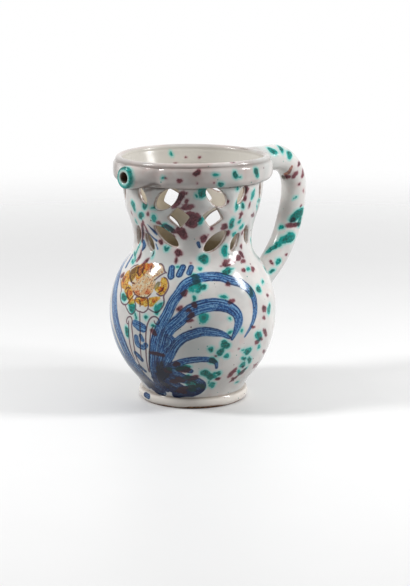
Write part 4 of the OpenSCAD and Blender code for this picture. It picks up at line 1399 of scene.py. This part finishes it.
# %% A small helper that wires shader nodes
class Workshop:
    """A material and the few kinds of node that the finishes here need."""

    def __init__(self, name):
        self.material = bpy.data.materials.new(name)
        self.material.use_nodes = True
        self.tree = self.material.node_tree
        self.shader = self.tree.nodes["Principled BSDF"]
        self.where = self.node("ShaderNodeTexCoord").outputs["Object"]

    def node(self, kind, **settings):
        made = self.tree.nodes.new(kind)
        for key, value in settings.items():
            setattr(made, key, value)
        return made

    def feed(self, socket, value):
        if isinstance(value, bpy.types.NodeSocket):
            self.tree.links.new(value, socket)
        else:
            socket.default_value = value

    def mark(self, name):
        return self.node("ShaderNodeAttribute", attribute_name=name).outputs["Fac"]

    def noise(self, size, detail=2.0, where=None):
        made = self.node("ShaderNodeTexNoise")
        self.feed(made.inputs["Vector"], self.where if where is None else where)
        self.feed(made.inputs["Scale"], 1000 / size if where is None else 1.0)
        self.feed(made.inputs["Detail"], detail)
        return made.outputs["Fac"]

    def cells(self, size):
        """Distance from a cell's middle, and two chances that each cell draws."""
        made = self.node("ShaderNodeTexVoronoi")
        self.feed(made.inputs["Vector"], self.where)
        self.feed(made.inputs["Scale"], 1000 / size)
        chance = self.node("ShaderNodeSeparateColor")
        self.feed(chance.inputs[0], made.outputs["Color"])
        return made.outputs["Distance"], chance.outputs[0], chance.outputs[1]

    def calc(self, operation, a, b=0.0, c=0.0):
        made = self.node("ShaderNodeMath", operation=operation)
        for socket, value in zip(made.inputs, (a, b, c)):
            self.feed(socket, value)
        return made.outputs[0]

    def times(self, a, b):
        return self.calc("MULTIPLY", a, b)

    def sway(self, size, detail, reach, shift=None):
        """A noise that runs over a reach in millimetres, about zero unless shifted."""
        shift = -reach / 2 if shift is None else shift
        return self.calc("MULTIPLY_ADD", self.noise(size, detail), reach, shift)

    def uneven(self, mark, *sway):
        """The distance of a mark, with an edge that sways."""
        return self.calc("ADD", self.mark(mark), self.sway(*sway))

    def ramp(self, value, start, end, low=0.0, high=1.0):
        """Goes softly from low at start to high at end. Start may be above end."""
        made = self.node("ShaderNodeMapRange", interpolation_type="SMOOTHSTEP")
        if start > end:
            start, end, low, high = end, start, high, low
        for key, setting in (("Value", value), ("From Min", start), ("From Max", end),
                             ("To Min", low), ("To Max", high)):
            self.feed(made.inputs[key], setting)
        return made.outputs[0]

    def mix(self, share, a, b, blend="MIX"):
        made = self.node("ShaderNodeMix", data_type="RGBA", blend_type=blend)
        for number, value in ((0, share), (6, a), (7, b)):
            self.feed(made.inputs[number], value)
        return made.outputs[2]

    def stained(self, share, a, b):
        return self.mix(share, a, b, "MULTIPLY")

    def bump(self, height, strength=1.0):
        """Height is in millimetres."""
        made = self.node("ShaderNodeBump")
        self.feed(made.inputs["Strength"], strength)
        self.feed(made.inputs["Distance"], MM)
        self.feed(made.inputs["Height"], height)
        self.feed(self.shader.inputs["Normal"], made.outputs[0])


w = Workshop("painted_glaze")
print("the glaze starts with", len(w.tree.nodes), "nodes")

# %% [markdown]
# ## White ground
# Outside, the glaze is thick and white, with clouds of pink and of cold grey from the kiln.
# The foot is a little creamier and lighter: partly its own tone, and partly painted light where
# it catches the light. Inside, the glaze is thin, so that the clay shows through as tan, and
# at the mouth of the spout's bore it is dark. Noises of different sizes make the clouds,
# because real glaze is uneven at every scale, and the stored distances say where the inside
# and the bore begin.

# %% Mottle the white, and thin it to tan inside
WHITE = linear(229, 226, 222)
FOOT_CREAM_AND_LIGHT, PALE_TAN = linear(240, 232, 222), linear(211, 207, 199)
color = w.mix(w.ramp(w.noise(17, 3), 0.35, 0.68), WHITE, linear(214, 211, 208))
color = w.mix(w.ramp(w.noise(8, 2), 0.52, 0.75, 0, 0.55), color, linear(224, 205, 200))
color = w.mix(w.ramp(w.noise(30, 1), 0.45, 0.72, 0, 0.6), color, linear(200, 208, 206))
position = w.node("ShaderNodeSeparateXYZ")
w.feed(position.inputs[0], w.where)


def by_height(start, end, low=0.0, high=1.0):
    """A ramp over the height above the table, in millimetres."""
    return w.ramp(position.outputs[2], start * MM, end * MM, low, high)


# the foot turns cream and lighter: partly its own tone, and partly painted light where it catches
# the light
color = w.mix(by_height(9.4, 8.2, 0, 0.8), color, FOOT_CREAM_AND_LIGHT)
tan = w.mix(w.ramp(w.noise(12, 3), 0.3, 0.7), linear(216, 205, 184), linear(196, 183, 158))
color = w.mix(w.mark("inner"), color, w.mix(by_height(155, 190), tan, PALE_TAN))
dark = w.mix(w.ramp(w.noise(3, 2), 0.35, 0.65), linear(126, 96, 84), linear(96, 92, 82))
color = w.mix(w.ramp(w.mark("bore_edge"), 0.5, -0.6), color, dark)
print("with the white ground it has", len(w.tree.nodes), "nodes")

# %% [markdown]
# ## Washes of the flower
# Paint on glaze is a stain: it takes light away from what lies under it. So each mark is
# multiplied over the white, and crossing strokes turn dark by themselves. Yellow, orange,
# peach, olive and rust are thin washes with stippled dots of a stronger colour. They differ
# only in their colours and strength, so one function makes all five.

# %% Wash and stipple the flower
def stain(red, green, blue):
    """What the white is multiplied with, so that it turns into the wanted colour."""
    return tuple(min(1.0, c / base) for c, base in zip(linear(red, green, blue)[:3], WHITE)) + (1,)


wobble = w.sway(1.6, 2, 1.6)
dots, dot_chance, _ = w.cells(2.1)
stipple = w.times(w.ramp(dots, 0.5, 0.34), w.ramp(dot_chance, 0.3, 0.4))
WASHES = [  # mark, thin colour, strong colour, how full the wash is, how strong its dots are
    ("peach_edge", (240, 216, 180), (222, 170, 112), 0.95, 0.8),
    ("yellow_edge", (240, 200, 96), (214, 150, 44), 1.0, 0.6),
    ("olive_edge", (168, 150, 76), (112, 104, 56), 0.9, 0.5),
    ("orange_edge", (236, 160, 84), (206, 104, 46), 0.75, 0.8),
    ("rust_edge", (206, 128, 92), (120, 44, 40), 0.85, 0.9),
]


def wash(color, mark, thin, strong, full, dotted):
    inside = w.ramp(w.calc("ADD", w.mark(mark), wobble), 1.1, 0.2, 0, full)
    tone = w.mix(w.ramp(w.noise(3.4, 2), 0.35, 0.65), stain(*thin), stain(*strong))
    tone = w.mix(w.times(stipple, dotted), tone, stain(*strong))
    return w.stained(inside, color, tone)


for row in WASHES:
    color = wash(color, *row)
flower = w.calc("MINIMUM", w.mark("peach_edge"), w.mark("yellow_edge"))
specks, speck_chance, _ = w.cells(1.3)
specks = w.times(w.ramp(specks, 0.5, 0.3), w.ramp(speck_chance, 0.3, 0.4))
specks = w.times(specks, w.ramp(flower, 0.9, -0.4, 0, 0.85))
speck_tone = w.mix(w.ramp(speck_chance, 0.6, 0.7), stain(176, 84, 52), stain(120, 60, 60))
color = w.stained(specks, color, speck_tone)
print(len(WASHES), "washes, and now", len(w.tree.nodes), "nodes")

# %% [markdown]
# ## Blue of the brush
# A loaded brush leaves streaks along its way, and the colour gathers at the rim of the
# stroke. So the streaks are a noise that is squeezed along the stroke, in the two distances
# that each stroke has stored. The blue is darker where coats cross, and darker low down at
# the root.

# %% Streak the blue and darken it at rims, root and crossings
blue_edge = w.uneven("blue_edge", 2.6, 2, 0.7)
along = w.node("ShaderNodeCombineXYZ")
w.feed(along.inputs[0], w.times(w.mark("blue_across"), 5.4))
w.feed(along.inputs[1], w.times(w.mark("blue_along"), 0.045))
streak = w.noise(1, 2, along.outputs[0])
tone = w.calc("ADD", w.times(streak, 0.75), w.times(w.noise(1.5, 3), 0.3))
blue = w.mix(w.ramp(tone, 0.43, 0.51), stain(16, 54, 106), stain(48, 106, 162))
blue = w.mix(w.ramp(tone, 0.52, 0.6, 0, 0.95), blue, stain(150, 190, 218))
# the blue grows darker towards the bottom, below a height of 46 mm
at_root = w.times(by_height(46, 16), w.ramp(w.noise(7, 3), 0.3, 0.6, 0.4, 0.95))
blue = w.mix(at_root, blue, stain(14, 30, 72))
at_rim = w.times(w.ramp(blue_edge, -1.7, -0.5), w.ramp(w.noise(9, 2), 0.36, 0.6, 0.1, 0.9))
blue = w.mix(at_rim, blue, stain(10, 36, 88))
coats = w.uneven("blue_coats", 5, 3, 2.0)
blue = w.mix(w.ramp(coats, 1.2, 2.6, 0, 0.8), blue, stain(22, 40, 84))
blue = w.mix(w.ramp(coats, 2.5, 4.0, 0, 0.9), blue, stain(14, 18, 38))
color = w.stained(w.ramp(blue_edge, 1.0, -0.3, 0, 0.8), color, stain(186, 208, 226))
color = w.stained(w.ramp(blue_edge, 0.25, -0.3), color, blue)
print("with the blue it has", len(w.tree.nodes), "nodes")

# %% [markdown]
# ## Plum lines, and drops that bleed
# The thin lines are plum. The drops of plum and green melt in the fire: each has a core, a
# lighter body and a halo that bleeds into the white, far for green and less for plum. Where
# a drop lies on blue it keeps a hint of its own colour, which a plain stain would lose.

# %% Draw the lines and melt the drops
line = w.uneven("line_edge", 1.2, 1, 0.4)
color = w.stained(w.ramp(line, 0.28, -0.2, 0, 0.92), color, stain(104, 66, 84))
on_blue = w.ramp(blue_edge, 0.1, -0.4, 0, 0.6)


def drop(color, mark, halo, body, core, over_blue, bleed):
    """Melts the drops of one colour in. Also returns their uneven edge, for the relief."""
    halo, body, core = (stain(*tint) for tint in (halo, body, core))
    edge = w.uneven(mark, 1.9, 3, 1.6)
    color = w.stained(w.ramp(edge, bleed, -0.2, 0, 0.85), color, halo)
    tone = w.calc("MULTIPLY_ADD", w.noise(12, 1), 0.55, w.times(w.noise(2.6, 2), 0.45))
    tone = w.mix(w.ramp(tone, 0.43, 0.56), body, core)
    tone = w.mix(w.ramp(edge, -1.2, -2.6, 0, 0.7), tone, core)
    tone = w.mix(w.ramp(edge, -1.1, -0.1, 0, 0.85), tone, body)
    tone = w.mix(w.ramp(w.noise(1.2, 2), 0.48, 0.66, 0, 0.6), tone, body)
    inside = w.ramp(edge, 0.45, -0.6)
    color = w.stained(inside, color, tone)
    return w.mix(w.times(inside, on_blue), color, linear(*over_blue)), edge


color, plum_edge = drop(color, "plum_edge", halo=(212, 188, 190), body=(146, 88, 96),
                        core=(80, 34, 46), over_blue=(66, 34, 54), bleed=1.6)
color, green_edge = drop(color, "green_edge", halo=(150, 226, 218), body=(16, 166, 160),
                         core=(0, 94, 86), over_blue=(4, 66, 66), bleed=2.6)
print("with the drops it has", len(w.tree.nodes), "nodes")

# %% [markdown]
# ## Spatter and pinholes
# Between the drops lies a spatter of specks, too many and too small to list. Gas that
# leaves the clay late makes pinholes. Both are a pattern of cells in which each cell draws
# by chance whether it holds one.

# %% Spatter the glaze and prick it
spatter, chance_a, chance_b = w.cells(5.2)
size = w.times(w.ramp(chance_a, 0.62, 1.0), 0.13)
tiny = w.ramp(w.calc("SUBTRACT", spatter, size), 0.02, -0.02)
tiny_tone = w.mix(w.ramp(chance_b, 0.45, 0.5), stain(120, 76, 84), stain(60, 160, 146))
color = w.stained(w.times(tiny, w.calc("SUBTRACT", 1.0, w.mark("inner"))), color, tiny_tone)
pits, pit_chance, _ = w.cells(3.1)
pinhole = w.times(w.ramp(pits, 0.075, 0.03), w.ramp(pit_chance, 0.8, 0.86))
color = w.mix(w.times(pinhole, 0.7), color, linear(96, 78, 64))
print("with spatter and pinholes it has", len(w.tree.nodes), "nodes")

# %% [markdown]
# ## Where the glaze gathers, and painted shade
# Glaze runs into a crease and lies grey there: over the foot, and below and above the rim
# band. The shadow that falls into these creases is painted into the same grey. The band and
# lip get a warm grey that is painted shade, and the folds under the spout get pooled grey and
# painted shade along soft strokes. The creases are found by height, and only close to the
# pot's own wall, so that the handle stays clean.

# %% Paint shade into the creases, on the rim band and in the folds
from_axis = w.node("ShaderNodeVectorMath", operation="LENGTH")
away = w.node("ShaderNodeCombineXYZ")
for way in (0, 1):
    w.feed(away.inputs[way], position.outputs[way])
w.feed(from_axis.inputs[0], away.outputs[0])


def by_radius(start, end):
    """A ramp over the distance from the jug's axis, in millimetres."""
    return w.ramp(from_axis.outputs["Value"], start * MM, end * MM)


# each crease gets pooled grey glaze and painted shade
SHADED_CREASES = [  # height, reach and depth
    (FOOT_HEIGHT + 0.2, 1.7, 0.45), (BAND_BOTTOM - 0.2, 1.4, 0.7), (BAND_TOP - 0.4, 2.2, 0.42)]
on_body = by_radius(65.3, 64.9)
for crease, reach, depth in SHADED_CREASES:
    gap = w.calc("ABSOLUTE", w.calc("SUBTRACT", position.outputs[2], crease * MM))
    crease_shade = w.times(w.ramp(gap, reach * MM, 0.1 * MM, 0, depth),
                   w.calc("SUBTRACT", on_body, w.mark("inner")))
    # painted shade in the crease, over the pooled grey of the glaze
    color = w.stained(crease_shade, color, stain(128, 114, 104))
# painted shade: a warm grey that darkens the outside of the band and the lip
rim_band_shade = w.times(by_height(179.5, 182.5), w.ramp(w.noise(24, 2), 0.3, 0.6, 0.25, 0.8))
rim_band_shade = w.times(rim_band_shade, w.calc("SUBTRACT", by_radius(76, 65), w.mark("inner")))
color = w.stained(rim_band_shade, color, stain(198, 184, 178))
# the folds under the spout: pooled grey glaze and painted shade
fold_shadow = w.uneven("fold_shadow_edge", 3, 2, 1.2)
color = w.stained(w.ramp(fold_shadow, 1.4, -0.8, 0, 0.75), color, stain(122, 106, 98))
print(len(SHADED_CREASES), "creases, and now", len(w.tree.nodes), "nodes")

# %% [markdown]
# ## Thin edges and bare clay
# On the cut edges of the windows the glaze is so thin that the clay warms it. Below the glaze
# line of the foot there is none. The clay is matt and rough, so it gets its own roughness.
# The finished colour, the gloss and a relief in millimetres then go to the shader.

# %% Warm the edges and bare the clay
thin = w.uneven("cut_gap", 3, 2, 1.6, -0.7)
color = w.stained(w.ramp(thin, 1.1, 0.05, 0, 0.85), color, stain(166, 130, 112))
bare_edge = w.uneven("bare_edge", 2.4, 3, 0.7)
bare = w.ramp(bare_edge, -0.12, 0.12)
clay = w.mix(w.ramp(w.noise(2.2, 4), 0.35, 0.65), linear(150, 112, 84), linear(98, 70, 52))
color = w.mix(w.ramp(bare_edge, -1.1, 0, 0, 0.4), color, linear(160, 128, 104))
w.feed(w.shader.inputs["Base Color"], w.mix(bare, color, clay))
gloss = w.ramp(w.noise(6, 3), 0.3, 0.7, 0.08, 0.16)
gloss = w.calc("ADD", gloss, w.times(w.mark("inner"), 0.12))
gloss = w.calc("ADD", gloss, w.times(pinhole, 0.3))
CLAY_ROUGHNESS = (0.8, 0.8, 0.8, 1)
w.feed(w.shader.inputs["Roughness"], w.mix(bare, gloss, CLAY_ROUGHNESS))
w.feed(w.shader.inputs["Specular IOR Level"], 0.32)
print("the colour is wired with", len(w.tree.nodes), "nodes")

# %% Raise the relief: waves, turning marks, orange peel, paint and pinholes
bands = w.node("ShaderNodeTexWave", bands_direction="Z")
for key, value in (("Vector", w.where), ("Scale", 55.0), ("Distortion", 3.0)):
    w.feed(bands.inputs[key], value)
relief = w.times(w.noise(22, 1), 0.5)
for layer, height in ((bands.outputs["Fac"], 0.02), (w.noise(2.4, 2), 0.02),
                      (w.ramp(blue_edge, 0.4, -0.4), 0.03), (w.ramp(green_edge, 0.4, -0.8), 0.05),
                      (w.ramp(plum_edge, 0.4, -0.8), 0.04), (pinhole, -0.12),
                      (w.times(bare, w.noise(0.9, 3)), 0.15)):
    relief = w.calc("MULTIPLY_ADD", layer, height, relief)
w.bump(relief, 0.6)
for piece in pot_pieces + [handle]:
    piece.data.materials.clear()
    piece.data.materials.append(w.material)
print("painted glaze has", len(w.tree.nodes), "nodes")

# %% [markdown]
# ## Inner glaze
# The inside of the belly and the duct have a thin tan glaze, mottled darker and lighter, with
# pinholes. The duct is the frame's own solid, so only its material slot is filled.

# %% Make the inner glaze
def inner_glaze():
    w = Workshop("inner_glaze")
    color = w.mix(w.ramp(w.noise(11, 3), 0.3, 0.7), linear(186, 174, 150), linear(158, 146, 124))
    pits, pit_chance, _ = w.cells(3.4)
    pinhole = w.times(w.ramp(pits, 0.09, 0.03), w.ramp(pit_chance, 0.7, 0.76))
    color = w.mix(w.times(pinhole, 0.7), color, linear(88, 70, 56))
    w.feed(w.shader.inputs["Base Color"], color)
    w.feed(w.shader.inputs["Roughness"], w.ramp(w.noise(5, 3), 0.3, 0.7, 0.2, 0.34))
    relief = w.calc("MULTIPLY_ADD", w.noise(2.2, 2), 0.05, w.times(w.noise(14, 1), 0.4))
    w.bump(w.calc("MULTIPLY_ADD", pinhole, -0.12, relief), 0.6)
    return w.material


tan_glaze = inner_glaze()
for piece in (pot_floor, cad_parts["inner_duct"]):
    piece.data.materials.clear()
    piece.data.materials.append(tan_glaze)
print("inner glaze has", len(tan_glaze.node_tree.nodes), "nodes")

# %% [markdown]
# ## Stage, light and camera
# The jug stands on a plain pale table. Two soft boxes high on both sides give the long
# highlights on shoulders and rim. A plain surround fills the rest: it is brighter above
# than below, and dimmer on the camera's side, so that the round form shows. Seen straight
# or in the gloss, table and surround are white, and only the soft light that they send to
# the jug is dimmed. The table fades out far from the jug, so that no edge of it shows. The
# camera looks down a little from a good way off, which is where the ellipses of rim and
# foot put it.

# %% Make the table
STAGE_RINGS = (0.12, 0.3, 0.6, 1.0, 1.4)
scene = bpy.context.scene


def make_table():
    work = bmesh.new()
    angles = np.linspace(0, 2 * math.pi, 96, endpoint=False)
    rings = [[work.verts.new((r * math.cos(a), r * math.sin(a), 0)) for a in angles]
             for r in STAGE_RINGS]
    middle = work.verts.new((0, 0, 0))
    for i in range(len(angles)):
        j = (i + 1) % len(angles)
        work.faces.new((middle, rings[0][i], rings[0][j]))
        for low, high in zip(rings[:-1], rings[1:]):
            work.faces.new((low[i], high[i], high[j], low[j]))
    mesh = bpy.data.meshes.new("table")
    work.to_mesh(mesh)
    work.free()
    table = bpy.data.objects.new("table", mesh)
    scene.collection.objects.link(table)
    return table


table = make_table()
print("the table is", 2 * STAGE_RINGS[-1], "m across")

# %% Give the table its finish
FADE_START, FADE_END = 0.3, 1.36


def seen_directly(tree):
    """1 for rays from the camera or off gloss or glass, 0 for the soft light between surfaces."""
    rays = tree.nodes.new("ShaderNodeLightPath").outputs
    seen = rays["Is Camera Ray"]
    for kind in ("Is Glossy Ray", "Is Transmission Ray"):
        either = tree.nodes.new("ShaderNodeMath")
        either.operation = "MAXIMUM"
        tree.links.new(seen, either.inputs[0])
        tree.links.new(rays[kind], either.inputs[1])
        seen = either.outputs[0]
    return seen


def table_finish():
    w = Workshop("pale_table")
    seen = seen_directly(w.tree)
    grey = w.mix(w.noise(60, 2), (0.4, 0.4, 0.4, 1), (0.44, 0.44, 0.44, 1))
    pale = w.mix(w.noise(60, 2), (0.84, 0.84, 0.84, 1), (0.86, 0.86, 0.86, 1))
    w.feed(w.shader.inputs["Base Color"], w.mix(seen, grey, pale))
    w.feed(w.shader.inputs["Roughness"], 0.45)
    away = w.node("ShaderNodeVectorMath", operation="LENGTH")
    w.feed(away.inputs[0], w.where)
    clear = w.node("ShaderNodeBsdfTransparent")
    fade = w.node("ShaderNodeMixShader")
    w.feed(fade.inputs[0], w.ramp(away.outputs["Value"], FADE_START, FADE_END))
    w.feed(fade.inputs[1], w.shader.outputs[0])
    w.feed(fade.inputs[2], clear.outputs[0])
    w.feed(w.tree.nodes["Material Output"].inputs["Surface"], fade.outputs[0])
    return w.material


table.data.materials.append(table_finish())
print("the table fades out from", FADE_START, "to", FADE_END, "m")

# %% Hang the soft boxes
# right, away and up from the jug's middle in metres, watts, width and height in metres
LIGHTS = {
    "soft_box_left": ((-0.7, -0.12, 0.7), 5.9, 0.16, 0.3),
    "soft_box_right": ((0.87, -0.1, 0.48), 6.7, 0.18, 0.36),
}
heading = math.radians(FRONT_TURN)
away_from_camera = Vector((-math.cos(heading), -math.sin(heading), 0))
to_the_right = Vector((-math.sin(heading), math.cos(heading), 0))
middle = Vector((0, 0, 0.1))
for name, ((right, away, up), power, width, tall) in LIGHTS.items():
    lamp = bpy.data.lights.new(name, "AREA")
    lamp.shape, lamp.energy, lamp.size, lamp.size_y = "RECTANGLE", power, width, tall
    light = bpy.data.objects.new(name, lamp)
    way = right * to_the_right + away * away_from_camera + Vector((0, 0, up))
    light.location = middle + way
    light.rotation_euler = way.to_track_quat("Z", "Y").to_euler()
    scene.collection.objects.link(light)
print(len(LIGHTS), "soft boxes hang beside the jug")

# %% Light the surround
FILL_BELOW, FILL_ABOVE = 0.2, 0.72
FILL_BEHIND, FILL_IN_FRONT = 1.0, 0.22
world = bpy.data.worlds.new("surround")
world.use_nodes = True
tree = world.node_tree
plain, seen = (tree.nodes.new(kind) for kind in ("ShaderNodeBackground", "ShaderNodeMixShader"))
plain.inputs["Color"].default_value = (1, 1, 1, 1)
fill = tree.nodes["Background"]
sky, up_share, rise = (tree.nodes.new(kind) for kind in (
    "ShaderNodeTexCoord", "ShaderNodeSeparateXYZ", "ShaderNodeMapRange"))
tree.links.new(sky.outputs["Generated"], up_share.inputs[0])
tree.links.new(up_share.outputs[2], rise.inputs["Value"])
rise.inputs["To Min"].default_value, rise.inputs["To Max"].default_value = FILL_BELOW, FILL_ABOVE
facing, dimmer, both = (tree.nodes.new(kind) for kind in (
    "ShaderNodeVectorMath", "ShaderNodeMapRange", "ShaderNodeMath"))
facing.operation, both.operation = "DOT_PRODUCT", "MULTIPLY"
tree.links.new(sky.outputs["Generated"], facing.inputs[0])
facing.inputs[1].default_value = -away_from_camera
tree.links.new(facing.outputs["Value"], dimmer.inputs["Value"])
dimmer.inputs["To Min"].default_value = FILL_BEHIND
dimmer.inputs["To Max"].default_value = FILL_IN_FRONT
tree.links.new(rise.outputs[0], both.inputs[0])
tree.links.new(dimmer.outputs[0], both.inputs[1])
tree.links.new(both.outputs[0], fill.inputs["Color"])
tree.links.new(seen_directly(tree), seen.inputs[0])
tree.links.new(fill.outputs[0], seen.inputs[1])
tree.links.new(plain.outputs[0], seen.inputs[2])
tree.links.new(seen.outputs[0], tree.nodes["World Output"].inputs["Surface"])
scene.world = world
scene.view_settings.view_transform = "Standard"
print("the surround gives", FILL_BELOW, "from below and", FILL_ABOVE, "from above")

# %% Set the camera
CAMERA_REACH, CAMERA_HEIGHT, CAMERA_PITCH, CAMERA_AIM = 1318, 378, 12.5, 0.43
CAMERA_LENS, SENSOR_WIDTH = 101.18, 36.0
camera = bpy.data.objects.new("camera", bpy.data.cameras.new("camera"))
scene.collection.objects.link(camera)
camera.data.lens, camera.data.sensor_width = CAMERA_LENS, SENSOR_WIDTH
camera.location = Vector(place(CAMERA_REACH, 0, CAMERA_HEIGHT))
camera.rotation_euler = (math.radians(90 - CAMERA_PITCH), 0,
                         math.radians(FRONT_TURN + 90 - CAMERA_AIM))
scene.camera = camera
print("the camera stands at", [round(v, 3) for v in camera.location])
